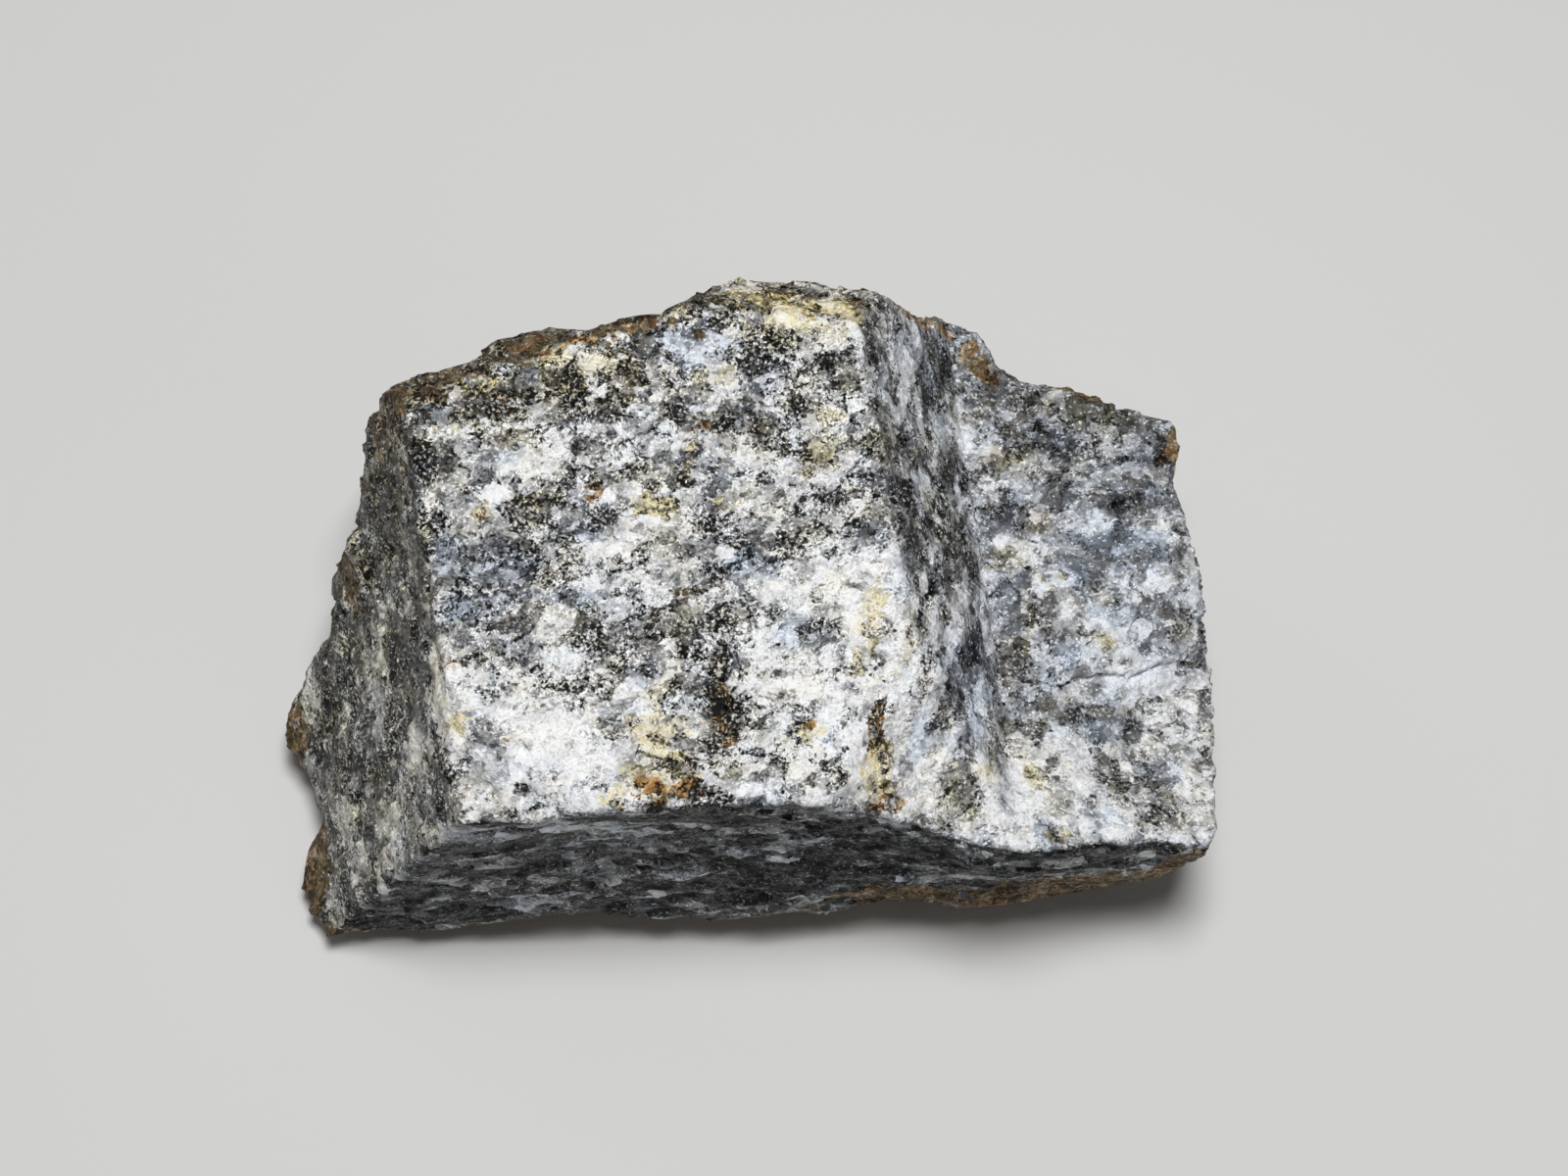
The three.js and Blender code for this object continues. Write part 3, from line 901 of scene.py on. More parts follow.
    def zone(self, bench: NodeBench, ragged: object, mineral: Mineral) -> bpy.types.NodeSocket:
        """Where a mineral's patches lie, with ragged edges."""
        patch = bench.attribute(mineral.value)
        held = bench.math("MINIMUM", bench.scaled(patch, self.patch_gain), 1.0)
        return bench.math("MULTIPLY", held, bench.ramped(bench.total(patch, ragged), self.patch_edge))

    def lenses(self, bench: NodeBench, where: object) -> bpy.types.NodeSocket:
        """The tone of the long grains that steep faces cut end on, drawn out level."""
        bent = self.warped(bench, where, *self.lens_warp)
        tones = []
        for span, shape, most in zip((self.grain, self.crumb), self.lens_shapes, self.lens_swings):
            lens = self.cells(bench, bench.vector("MULTIPLY", bent, shape), span)
            tones.append(bench.swing(lens[0], most))
        return bench.total(*tones)

    def tone(self, bench: NodeBench, where: object, cells: tuple, zones: dict, lenses: object) -> object:
        """How pale the stone is at each place.

        Args:
            bench: the material's bench.
            where: places, warped.
            cells: random numbers of each grain, crumb, speck and glint.
            zones: where each mineral lies, and the edges and pits.
            lenses: the tone of the grains that steep faces show end on.

        Returns:
            The tone, from 0 to 1.
        """
        grain, crumb, speck, glint = cells
        lens, speck_and_painted_glint_share = bench.attribute("lens"), bench.attribute("specks")
        noises = (bench.noise(where, self.clouds), bench.noise(where, self.mottling), grain[0], crumb[0])
        cloudy, *mottles = map(bench.swing, noises, self.tone_swings)
        tone = bench.total(
            self.middle_tone,
            bench.attribute("tone"),
            cloudy,
            bench.math("MULTIPLY", bench.total(*mottles), bench.scaled(lens, -self.lens_plainness, 1.0)),
            bench.math("MULTIPLY", lenses, lens),
            *(bench.scaled(zones[name], by) for name, by in self.tone_shifts),
        )
        # The rims that turn away from the broad face get painted shade, and the darkest grains are a glassy
        # olive grey in which only the mica is black.
        glassy = bench.math("MAXIMUM", bench.scaled(lens, -1.0, 1.0), 0.0)
        rim_shading = bench.ramped(self.rise(bench), self.painted_rim_shade)
        tone = bench.total(tone, bench.math("MULTIPLY", glassy, rim_shading))
        level, share = self.shadow
        shadow = bench.math("MAXIMUM", bench.scaled(tone, -1.0, level), 0.0)
        tone = bench.total(tone, bench.math("MULTIPLY", shadow, bench.scaled(glassy, share)))
        specks = self.specks(bench, where, cells, tone, zones)
        # The whitest grains keep some of their mottling.
        level, share = self.dazzle
        dazzle = bench.math("MAXIMUM", bench.scaled(tone, 1.0, -level), 0.0)
        tone = bench.total(tone, bench.scaled(dazzle, -share), bench.math("MULTIPLY", specks, speck_and_painted_glint_share))
        # Painted glints: a few specks are made paler in the colour, as highlights that stand in for their
        # sparkle.
        bright = bench.ramped(glint[0], self.painted_glinting)
        tone = bench.total(bench.math("MAXIMUM", tone, self.blackest), bench.scaled(bright, self.painted_glint_lift))
        least, more = self.painted_glint_least
        shine = bench.math("MULTIPLY", bright, bench.scaled(speck_and_painted_glint_share, more, least))
        return bench.math("MINIMUM", bench.math("MAXIMUM", tone, shine), 1.0)

    def specks(self, bench: NodeBench, where: object, cells: tuple, tone: object, zones: dict) -> object:
        """How much darker the mica's specks and paler the dust's are than the grains they lie on.

        Args:
            bench: the material's bench.
            where: places, warped.
            cells: random numbers of each grain, crumb, speck and glint.
            tone: how pale the grains are.
            zones: where each mineral lies.

        Returns:
            The change of tone.
        """
        grain, crumb, speck, glint = cells
        # Glassy grains stay plain, and crushed ones are full of specks.
        broken = bench.total(grain[2], bench.swing(crumb[1], self.crushing_swing))
        calm = bench.scaled(zones["blue"], -self.blue_calm, 1.0)
        crushed = bench.math("MULTIPLY", bench.ramped(broken, self.crushing), calm)
        # Black specks crowd the darker places, and pale dust lies over all.
        more = bench.scaled(zones["dark"], self.dark_crowding)
        crowd = bench.total(bench.ramped(tone, self.crowding), more)
        black = bench.ramped(bench.math("SUBTRACT", crowd, speck[0]), self.blackening)
        dust = bench.total(*map(bench.swing, (glint[1], bench.noise(where, self.powder)), self.dust_swings))
        dust = bench.math("MULTIPLY", dust, bench.ramped(tone, self.dusting))
        return bench.math("MULTIPLY", bench.total(black, dust), crushed)

    def fresh_colour(self, bench: NodeBench, where: object, tone: object, crumb: list, zones: dict) -> object:
        """The colour of the freshly broken faces.

        Args:
            bench: the material's bench.
            where: places, warped.
            tone: how pale the stone is there.
            crumb: random numbers of each crumb.
            zones: where each mineral lies.

        Returns:
            The colour.
        """
        pale = bench.math("POWER", tone, self.tone_power)
        drift = bench.total(bench.noise(where, self.hue_drift), -self.hue_middle)
        drift = bench.total(drift, bench.swing(crumb[2], self.hue_swing))
        # The darker the grain, the more its tint shows.
        most, paler = self.hue_strength
        drift = bench.math("MULTIPLY", drift, bench.scaled(tone, paler, most))
        hue = bench.total(0.5, drift, *(bench.scaled(zones[name], by) for name, by in self.hue_shifts))
        colour = bench.mix(1.0, self.grey(bench, pale), bench.coloured(hue, self.tints), "MULTIPLY")
        for name, stains in (("ochre", self.ochres), ("rust", self.rusts)):
            stain = bench.mix(zones[name], (1, 1, 1, 1), bench.coloured(crumb[1], stains))
            colour = bench.mix(1.0, colour, stain, "MULTIPLY")
        return colour

    def grey(self, bench: NodeBench, pale: object) -> bpy.types.NodeSocket:
        """A grey of that brightness."""
        return bench.add("ShaderNodeCombineColor", {0: pale, 1: pale, 2: pale}).outputs[0]

    def crust_colour(self, bench: NodeBench, where: object, cells: tuple) -> bpy.types.NodeSocket:
        """The colour of the weathered crust: a brown skin in which cream, rusty and black grains show."""
        grain, crumb, speck, glint = cells
        mottle = bench.total(bench.noise(where, self.crust_mottling), bench.swing(speck[1], 0.12))
        kind = bench.total(bench.scaled(grain[2], 0.9), bench.scaled(crumb[2], 0.24, -0.1))
        skin = bench.coloured(mottle, self.crust_skin)
        grains = bench.coloured(kind, self.crust_grains, soft=False)
        mixed = bench.mix(bench.ramped(crumb[0], self.crust_grain_share), skin, grains)
        faded = bench.ramped(bench.noise(where, self.crust_weather), self.crust_fading)
        bright = bench.math("MULTIPLY", bench.scaled(glint[1], *self.crust_glitter), faded)
        return bench.mix(1.0, mixed, self.grey(bench, bright), "MULTIPLY")

    def rise(self, bench: NodeBench) -> bpy.types.NodeSocket:
        """How far a place faces the way that the broad face does: 1 along it, 0 at right angles."""
        both = {0: bench.normal(), 1: self.up}
        return bench.add("ShaderNodeVectorMath", both, operation="DOT_PRODUCT").outputs["Value"]

    def crust_zone(self, bench: NodeBench, ragged: object, patches: object) -> bpy.types.NodeSocket:
        """Where the crust lies, with a ragged edge. Most of it has gone from the rims that face up."""
        gone = bench.ramped(self.rise(bench), self.crust_wear)
        under = bench.ramped(bench.total(bench.attribute("crust"), gone, ragged), self.crust_edge)
        return bench.math("MAXIMUM", under, patches)

    def roughness(self, bench: NodeBench, crumb: list, glint: list, crust: object) -> bpy.types.NodeSocket:
        """Grains that glint among duller ones, and a dull crust."""
        dull = bench.ramped(crumb[0], self.crumb_roughness)
        bright = bench.ramped(glint[2], self.glint_roughness)
        weathered = bench.scaled(crust, self.crust_roughness)
        return bench.math("ADD", bench.total(dull, bright), weathered, clamp=True)

    def bumps(self, bench: NodeBench, where: object, grain: list, crumb: list, speck: list) -> object:
        """Each grain's and crumb's own flat cleavage face, and a fine grit over all."""
        summed = bench.normal()
        for numbers, by in zip((grain, crumb, speck), self.leans):
            lean = bench.add("ShaderNodeCombineXYZ", dict(enumerate(numbers))).outputs[0]
            summed = bench.vector("ADD", bench.scaled_vector(bench.centred(lean), by), summed)
        inputs = {"Strength": self.grit_strength, "Distance": self.grit_height * MM}
        inputs |= {"Height": bench.noise(where, self.grit), "Normal": bench.vector("NORMALIZE", summed)}
        return bench.add("ShaderNodeBump", inputs).outputs[0]


@dataclass
class Stone:
    """The whole stone: its fine skin, the masks that its finish reads, and that finish."""

    form: StoneForm = field(default_factory=StoneForm)
    look: GrainLook = field(default_factory=GrainLook)
    patches: tuple[Patch, ...] = (
        # The crown
        *patches_of(Mineral.WHITE, (
            (-3, 28.4, 1.8, 0.7, 0, 0.9), (-0.4, 27.2, 3, 0.7, -6, 0.9), (4.2, 26.6, 2.6, 1, -10, 1.1),
            (4, 25.8, 2.4, 1.1, -10), (2, 25.6, 3.6, 0.7, 0, 0.7), (5.6, 24.4, 2.4, 1.4, -10, 0.9),
        )),
        *patches_of(Mineral.DARK, (
            (-8.4, 28.6, 2.4, 0.8, 20, 0.8), (2.6, 28.6, 1.4, 0.5, 0, 0.9), (3.4, 28.2, 1, 0.6, 0, 0.8),
            (-1.4, 28, 0.7, 0.6, 0, 1.3), (-1.2, 27.8, 0.8, 0.8, 0, 1.3), (-1.3, 27.4, 0.9, 0.8),
            (-7.6, 27.2, 2.4, 0.5, 20, 0.7), (2.8, 26.8, 0.8, 0.6), (-6.4, 26.6, 1.6, 0.6, 20, 0.8),
            (-5.2, 26.6, 0.9, 0.6), (-5.4, 25.4, 1.6, 0.8, 20, 0.8), (5.6, 25, 0.6, 0.8),
        )),
        *patches_of(Mineral.OLIVE, (
            (-3, 27.8, 5, 1.2, 8, 0.7), (-4, 27.6, 3, 0.8, 6, 0.7), (-9.6, 26.4, 3, 1, 25, 0.9),
            (1, 24.4, 6, 1.6, 0, 0.7),
        )),
        *patches_of(Mineral.OCHRE, (
            (0.4, 27.4, 5, 1.1, -4, 1.2), (-4, 27, 2.4, 1, 8, 0.8), (6, 27, 1.6, 1.6, -40, 0.8),
            (-11, 26.8, 1.8, 0.6, 14, 0.9), (5, 25.6, 2.4, 1.2, -10, 0.4), (3.4, 25.4, 1.4, 0.6, 0, 0.5),
        )),
        *patches_of(Mineral.RUST, (
            (-8.4, 24.2, 0.9, 0.4, 0, 0.8),
        )),
        # The upper left rim
        *patches_of(Mineral.WHITE, (
            (-20.4, 23, 1.8, 0.8, 12), (-22.4, 22.6, 1.6, 0.7), (-29.6, 20.2, 1.2, 0.9, 0, 0.9),
        )),
        *patches_of(Mineral.DARK, (
            (-16, 25, 3.4, 1.2, 14), (-25.6, 24.2, 2.4, 0.9, 14, 0.8), (-23.4, 23.8, 1, 0.6),
            (-24.6, 23, 0.8, 0.6, 0, 0.9), (-27.6, 22, 1.2, 0.9), (-29, 20.6, 3, 1, 16, 0.8),
            (-36, 20.4, 3, 1.4, 20), (-35, 19.4, 1.2, 0.8),
        )),
        *patches_of(Mineral.OLIVE, (
            (-14.6, 26.2, 5.5, 1.7, 16), (-24, 24, 5.5, 1.9, 14), (-35.6, 20, 3.4, 1.8, 20),
            (-33, 19.6, 4, 1.8, 12, 0.9),
        )),
        *patches_of(Mineral.OCHRE, (
            (-24, 22.6, 3.6, 1.6, 12, 0.8), (-29.4, 20.4, 1.8, 1.6, 0, 0.9),
        )),
        *patches_of(Mineral.RUST, (
            (-13, 26.4, 1.4, 0.6, 14, 0.8), (-21.6, 23.8, 0.9, 0.5), (-18, 23.8, 2.4, 0.9, 0, 0.9),
            (-24.6, 23, 1.1, 0.8, 0, 1.3), (-28.8, 21.2, 0.9, 0.9),
        )),
        *patches_of(Mineral.CRUST, (
            (-15.4, 24.8, 4.2, 0.9, 6, 0.7), (-24.6, 23.2, 4.4, 1.6, 14, 0.5),
            (-32.6, 20.4, 3.6, 1.4, 12, 0.5),
        )),
        # The broad face, upper half
        *patches_of(Mineral.WHITE, (
            (-6.2, 23.4, 2.2, 1.2, 0, 0.6), (-10, 22.6, 2.4, 1.2, 10, 0.8), (-7.6, 22, 1.8, 2.2, 20, 0.8),
            (-17.4, 21.3, 2.2, 0.7, 0, 0.9), (3, 20, 1.6, 1.4, 0, 0.7), (-12, 18.2, 2.2, 0.9, 0, 0.4),
            (-9.4, 17.6, 1.2, 1.2, 0, 0.3), (-16, 14.4, 3, 1, 0, 0.5), (-3.4, 14.2, 1.4, 1, 0, 0.6),
            (-18, 14, 2, 1.6, 0, 0.8), (-10, 14, 1.4, 1.2, 0, 0.7), (4, 13.8, 1.5, 1.7, 0, 0.7),
            (-23.6, 12.8, 4.2, 1.8, 14), (-16, 12.6, 2.6, 1.4, 0, 0.7), (-14, 12.4, 2, 0.9, 0, 0.4),
            (-21.6, 11.6, 1, 1.8), (-12.6, 11.2, 2, 1, 0, 0.7), (5.4, 11, 1.6, 1.3, 0, 0.8),
            (-27.6, 9.3, 2.4, 1.3, 0, 0.6), (-17.5, 9, 1.6, 1.6, 0, 0.8), (-6.2, 8.4, 1.2, 1, 0, 0.6),
            (7.2, 8.4, 1, 1.4, 0, 0.6), (3, 8, 1.6, 1, 30, 0.4), (-3.5, 7, 1.2, 1.6, 30, 0.5),
            (-12, 6.6, 2.6, 1.4, -10, 0.8), (-14.6, 5.6, 2, 1.1, 0, 0.8), (-9.3, 5.6, 1.4, 0.6, 30, 0.8),
            (-23, 5.2, 1.8, 0.8, 0, 0.7), (-20, 5.2, 1.8, 1.2, 0, 0.7), (-17.4, 3.8, 2.5, 1.5, 0, 0.7),
            (-15, 1.8, 3, 1.4, 0, 0.4), (-2.6, 1, 2, 1.4, 0, 0.7), (4, 1, 4.5, 1.8, 4), (8.6, 0.8, 2.4, 1.7),
            (4, 0.6, 6.2, 1.9, 12),
        )),
        *patches_of(Mineral.BLUE, (
            (-11, 23.6, 3.6, 1.4, 25, 0.7), (-10, 23, 5, 2), (-2, 19, 2, 1, 0, 0.6),
            (-28, 17.2, 2, 1, 0, 0.5), (-9, 16.6, 1.5, 1.6), (-25.6, 12.6, 2.6, 1, 10, 0.7),
            (-18, 5.4, 3, 1, 20, 0.6), (8.4, 5.4, 2.6, 1, 0, 0.8), (-31, 3, 2.4, 2, 0, 0.9),
            (-3, 2.3, 3, 1.6, 0, 0.7), (-28, 2.2, 5, 2.3),
        )),
        *patches_of(Mineral.DARK, (
            (-15.8, 22.8, 1.6, 1.8, 0, 0.8), (-1.6, 22.6, 2, 1.8), (5, 21.6, 2, 1.1),
            (-3, 21.2, 1.6, 1.2, 0, 1.1), (4.2, 21.2, 1.6, 1, 0, 1.1), (-11.4, 20.6, 1.6, 1),
            (-21, 20.2, 3.2, 0.5, 0, 0.9), (2, 20, 2, 1, 0, 0.8), (-15.4, 19.8, 2.2, 1, 0, 0.8),
            (6, 19.4, 1.6, 1.6, 0, 0.7), (-22.5, 18.6, 4, 0.9, 0, 0.7), (-15, 18, 1.8, 1),
            (-3.2, 17.8, 1.8, 1.8, 0, 0.9), (-33.6, 17.6, 2.6, 1.6, 20, 0.9), (1, 17.4, 2, 1.2, 0, 0.7),
            (-18, 17, 1.8, 0.8, 0, 0.7), (-16.4, 16.8, 3, 1.1, 0, 0.8), (-27, 16.7, 2.8, 0.6, -5, 1.2),
            (-10.2, 16.6, 1.3, 2.6, 10), (-21, 16.2, 1.6, 0.7, 0, 0.6), (-28.6, 14.6, 1.1, 0.8, 0, 0.8),
            (-26, 14.4, 2.6, 0.8, 14, 0.7), (-5.4, 14.4, 1.4, 1.4, 0, 0.6), (-1.6, 14.2, 2, 2.8, 0, 0.7),
            (2.4, 14, 1.2, 1.4, 0, 0.8), (-23.4, 13.6, 1, 1.6), (-19.4, 13.4, 0.8, 1, 0, 1.1),
            (-8.6, 13.4, 1.4, 1.2, 0, 0.8), (5.4, 13, 2.8, 1.4, 0, 0.7), (9, 13, 1.6, 2.4, 0, 0.7),
            (-6, 12.6, 1.2, 1, 0, 0.4), (-32.6, 12.4, 2, 1.6, -30, 0.9), (-17.4, 12.2, 1.5, 0.6, 0, 0.9),
            (-30.6, 11.5, 2, 0.8, -30, 0.6), (-34.6, 11, 1.3, 6), (-13.6, 11, 2.2, 0.9, 0, 0.9),
            (-17, 10.4, 1.3, 0.9, 0, 0.8), (-10, 10, 1.6, 1.3, 0, 0.7), (-32, 9, 1.8, 1, 0, 0.9),
            (5, 8.9, 1.6, 1.4), (-32.5, 8.4, 1.4, 2, 0, 0.6), (-1, 7.6, 1.4, 0.9, 0, 0.5),
            (-24, 7.4, 2.6, 1.7, 0, 0.9), (8.6, 6.8, 1.2, 1.4, 0, 0.7), (-34, 6, 1.1, 3, 0, 0.8),
            (-7.6, 5.9, 2, 0.7, 10, 1.1), (7.4, 5.6, 1.6, 0.7, 0, 0.8), (-2.6, 4.4, 4.4, 0.7),
            (-24, 4.1, 4.6, 0.8, -3, 0.9), (-21.4, 4, 1.6, 1.8), (-1, 3.6, 2, 1.2, 0, 0.7),
            (-22, 3.4, 1.8, 0.8), (-20.4, 3.2, 1.6, 1.4), (-29.6, 3, 1.6, 1), (-22.6, 1.2, 2.4, 1.2, 0, 0.8),
            (-5.9, 1, 0.5, 2.4, -10, 0.5), (-30, 0.4, 3, 0.7, -4, 0.8),
        )),
        *patches_of(Mineral.OLIVE, (
            (-19, 21.4, 5, 1.4, 10, 0.8), (-14, 21.4, 3, 1, 25, 0.8), (-15, 21, 2.4, 1.6, 0, 0.7),
            (-6, 20.4, 2.4, 1.2, 0, 0.7), (-14, 19.6, 4, 1.6, 0, 0.5), (-24, 19.2, 6, 1.4, 0, 0.6),
            (-30, 18.6, 4, 1.2, 12, 0.6), (-15.6, 17.6, 2.4, 1.2, 0, 0.8), (-31, 17, 4, 2.4, 14, 0.7),
            (-7.2, 15.9, 2.6, 0.8, 14), (9, 13, 1, 2, 0, 0.9), (3, 12.8, 3, 2, 0, 0.6),
            (-23, 8.4, 2.6, 1.8, 0, 0.6), (-12, 8, 2.4, 1.2, 0, 0.7), (-5.5, 8, 1.6, 1, 30, 0.5),
        )),
        *patches_of(Mineral.OCHRE, (
            (4, 16.3, 1.6, 0.9, 0, 0.9), (-8.8, 12.6, 0.6, 3, -20, 0.6), (-6, 8.2, 1.2, 0.7, 30, 0.8),
            (-12.2, 8, 1.8, 1.4, 0, 0.6), (-28.6, 7, 1, 0.9),
        )),
        *patches_of(Mineral.RUST, (
            (-33.5, 18.6, 1.8, 1.2, 0, 0.8), (-26.6, 17.6, 0.9, 1, 0, 0.6), (-8, 15.3, 0.9, 0.4, 15, 0.8),
            (-18.2, 9.1, 0.9, 0.55, 55, 1.3), (-28.6, 7, 0.6, 0.6, 0, 0.6),
        )),
        # The broad face, lower half
        *patches_of(Mineral.WHITE, (
            (-18.6, 0, 1.6, 1.2, 0, 0.7), (-17.6, 0, 1.8, 1.4, 0, 0.9), (5, 0, 3.6, 1.6, 0, 0.9),
            (-1, -0.4, 2.4, 1.4, 0, 0.9), (-27, -2, 2.4, 1.2, 0, 0.8), (-21.5, -3, 1.4, 1.9, 30, 0.8),
            (9.6, -4, 1.8, 3.4, -10), (9, -4.6, 1.4, 3), (7.6, -5, 1.6, 4.6, -8),
            (-0.6, -6, 2.6, 1.7, 0, 0.8), (8, -6, 1.3, 2.2, 0, 0.8), (-32.6, -7, 1.3, 3, 0, 0.9),
            (-20.6, -7, 2, 2, 0, 0.8), (2, -7.6, 3, 2, 0, 0.7), (-32, -8, 1.6, 3, 0, 0.9),
            (-28, -8, 2, 1.6, 0, 0.8), (15.4, -8, 0.5, 2, -14, 0.7), (-1, -9, 2.2, 1, 0, 0.8),
            (11, -9, 1.6, 4, -8, 0.8), (-32.4, -9.4, 1.6, 2.2), (4, -9.8, 2.6, 1.3, 0, 0.8),
            (-32.4, -10.5, 1.3, 3.6, 0, 0.8), (-17, -11, 2.2, 1.2, 0, 0.9), (-14, -11, 1.6, 3, 30, 0.8),
            (13.6, -11, 0.7, 3, -12, 0.8), (-31, -11.5, 2.2, 2.6, 0, 0.9), (-22, -12.3, 5.2, 1.9),
            (-11, -13, 1.4, 1.2, 0, 0.8), (1, -13, 1.8, 1.4, 0, 0.9), (-8, -13.3, 2, 1.2, 0, 0.6),
            (-12, -14, 2, 1.4, 0, 0.8), (4, -14, 4, 2.6, -20, 0.7), (7, -14, 1.6, 2, 0, 0.7),
            (-11, -14.8, 1.3, 1.2, 0, 0.9), (-19.5, -15.6, 4.2, 1.7, -28), (-23.5, -16, 3.6, 1.3, 0, 0.7),
            (-28, -16.6, 1.4, 1.6, 0, 0.8), (7, -16.6, 1.6, 2, 0, 0.8), (-28.4, -17, 1.6, 1, 0, 0.8),
            (13.4, -17.5, 1.6, 3, -8, 0.8), (-28, -17.6, 2, 1, 0, 0.7), (-11.4, -18, 1.4, 1, 0, 0.7),
            (-27.5, -18.2, 2.2, 2, 20, 0.9), (-2, -18.5, 2.6, 1.2, 0, 0.6), (2, -19.6, 4, 1.2, 0, 0.7),
            (-17, -19.8, 6, 1.3, 0, 0.8), (0.6, -20, 3, 1, 0, 0.7), (-29, -20.6, 2.5, 1, 0, 0.8),
            (-23, -21, 2.6, 1.2, 0, 0.7), (-15.4, -21, 2.4, 0.8, 0, 0.7), (4, -21.6, 4, 1, 0, 0.8),
        )),
        *patches_of(Mineral.BLUE, (
            (-23, -0.8, 5, 1, 0, 0.6), (-30, -1.8, 3, 1.5, 0, 0.8), (1.6, -4.4, 3, 1.4, 0, 0.7),
            (-13.5, -8.3, 2.6, 1.2, 10, 0.7), (13.4, -13, 1, 3.4, -14, 0.8), (-22, -17.2, 1.4, 0.8, 0, 0.6),
            (-16, -17.6, 1.3, 1, 0, 0.6),
        )),
        *patches_of(Mineral.DARK, (
            (-9.6, -0.2, 1, 0.5, 0, 0.9), (-9, -1.4, 1.2, 1.6, 0, 0.9), (-8.4, -2.8, 3, 1.4, 0, 0.9),
            (-26.5, -3.4, 4.2, 1.2, 0, 0.6), (-32, -3.6, 1.6, 0.6, 0, 0.9), (-12.5, -4, 2.5, 1.6, 30, 0.8),
            (-17, -4.4, 2.8, 2.8, 20, 0.6), (-9, -5, 1.6, 1.6, 0, 0.8), (-6, -6.6, 0.6, 2, 0, 1.3),
            (-16, -7, 1.2, 1, 0, 0.7), (-5.9, -7.6, 0.6, 2.8), (13.4, -8.4, 0.8, 2.6, -14),
            (-20.4, -9.4, 2, 0.9, 0, 0.7), (-6.3, -10.5, 1.4, 2.2, 10, 1.1), (-6.2, -11.8, 1, 2.4),
            (-3.6, -12, 1.7, 1.1, 0, 0.8), (8.8, -12.4, 0.6, 2.6, -8, 1.3), (-17, -12.7, 1.2, 0.7, 0, 0.9),
            (-5, -12.8, 0.9, 1.2, 20, 1.3), (14.6, -13.4, 0.8, 2.8, -14, 1.1), (-16, -14, 1, 1.3, 0, 0.7),
            (-6.6, -15.6, 1.6, 2.2, 0, 0.6), (-10.4, -16.4, 2.6, 0.7, 18), (4.4, -16.8, 0.8, 2.8, 45, 0.8),
            (-4.6, -17.2, 1.4, 1.3, 0, 0.7), (16, -18.6, 0.8, 2.8, -14), (-11.8, -20.2, 0.9, 0.7),
            (15.4, -20.4, 0.9, 1.6, 0, 0.8), (-6, -20.8, 4, 0.5, 0, 0.7), (16, -21, 1.1, 1.3, 0, 0.8),
            (-25, -21.4, 1.8, 0.7, 0, 0.8), (-23.6, -21.6, 1.8, 0.8, 0, 0.8), (-16, -21.6, 6, 0.5, 0, 0.8),
            (16.6, -21.8, 1.1, 1.2), (17, -22, 1.2, 1.4), (17.4, -22, 1, 1.4, 0, 0.8), (15.8, -22.4, 1.1, 1),
        )),
        *patches_of(Mineral.OLIVE, (
            (11.6, -5, 0.6, 3, -14, 0.7), (-11.4, -9.6, 2.2, 0.8, 35, 0.9), (-6.4, -9.6, 1.4, 4, 0, 0.7),
            (9, -16.5, 1.2, 2.6), (-7, -18, 1.6, 1.4, 0, 0.5),
        )),
        *patches_of(Mineral.OCHRE, (
            (8, -4, 1.6, 5, -8, 0.5), (-31, -12, 1.5, 2, 0, 0.4), (-11.5, -13.2, 3, 1.6),
            (2, -13.5, 1.8, 1.2, 0, 0.6), (-11.5, -17.6, 3.8, 2.2), (9, -17.6, 1.4, 3),
            (-16, -20, 1.5, 0.9, 0, 0.7),
        )),
        *patches_of(Mineral.RUST, (
            (-9.6, -0.2, 1, 0.5, 0, 0.8), (-31, -7, 1, 0.5, 10, 0.6), (-6, -10.4, 0.8, 2.6, 5, 0.8),
            (2.4, -12.6, 0.8, 0.5, 0, 0.7), (8.8, -12.8, 0.7, 2.4, -8), (-5, -14, 0.7, 1.1),
            (-26.3, -14.3, 0.5, 0.5), (-13, -19, 1.4, 1, 30), (-8.6, -19, 2, 0.9, 15, 0.8),
            (-11.8, -20, 0.7, 0.7, 0, 1.2), (9.9, -20.4, 1.3, 0.8, 0, 1.2),
        )),
        # The wall
        *patches_of(Mineral.WHITE, (
            (10, 24.4, 1, 1.6, -14, 0.7), (10.8, 22.6, 1, 2, -14, 0.6), (12, 22, 1.2, 1.6, 0, 0.7),
            (11.6, 17.8, 0.7, 1.8, -14, 0.6), (13.5, 8.5, 0.8, 3.5, -14, 0.8),
            (13.8, 1.6, 0.5, 2.2, -12, 0.9), (19.4, -1, 0.6, 3, -12, 0.7), (17, -1.4, 0.8, 1.8, -10),
            (16.5, -5, 0.8, 2, -10, 0.8), (18.6, -12, 0.9, 3.6, -12, 0.8),
        )),
        *patches_of(Mineral.BLUE, (
            (17.8, -8, 2, 4, -12, 0.9), (17.6, -14.6, 1.4, 2.4, -12, 0.9),
        )),
        *patches_of(Mineral.DARK, (
            (7.4, 27.4, 1, 0.7, -30, 0.9), (8.2, 23.6, 0.7, 2, 10, 0.9), (9.4, 22.6, 0.8, 2, -16, 0.7),
            # The long dark strokes turned 102 to 108 degrees lie along the wall's edge with the broad face:
            # painted shade in that crease.
            (12.6, 19, 0.6, 3, -16, 0.6), (10.2, 14, 3.4, 1.2, 108, 1.5), (9.8, 12.4, 0.9, 1.6, 0, 0.9),
            (10.6, 11, 0.8, 3, -14, 0.9), (11.2, 8.6, 3.6, 1.2, 102, 1.6), (14.6, 8, 1, 4.4, -16, 0.8),
            (12.4, 5, 0.7, 2.6, -14, 0.8), (12.6, 2.6, 3.6, 1.1, 102, 1.4), (16.4, 2, 1.1, 4.2, -12),
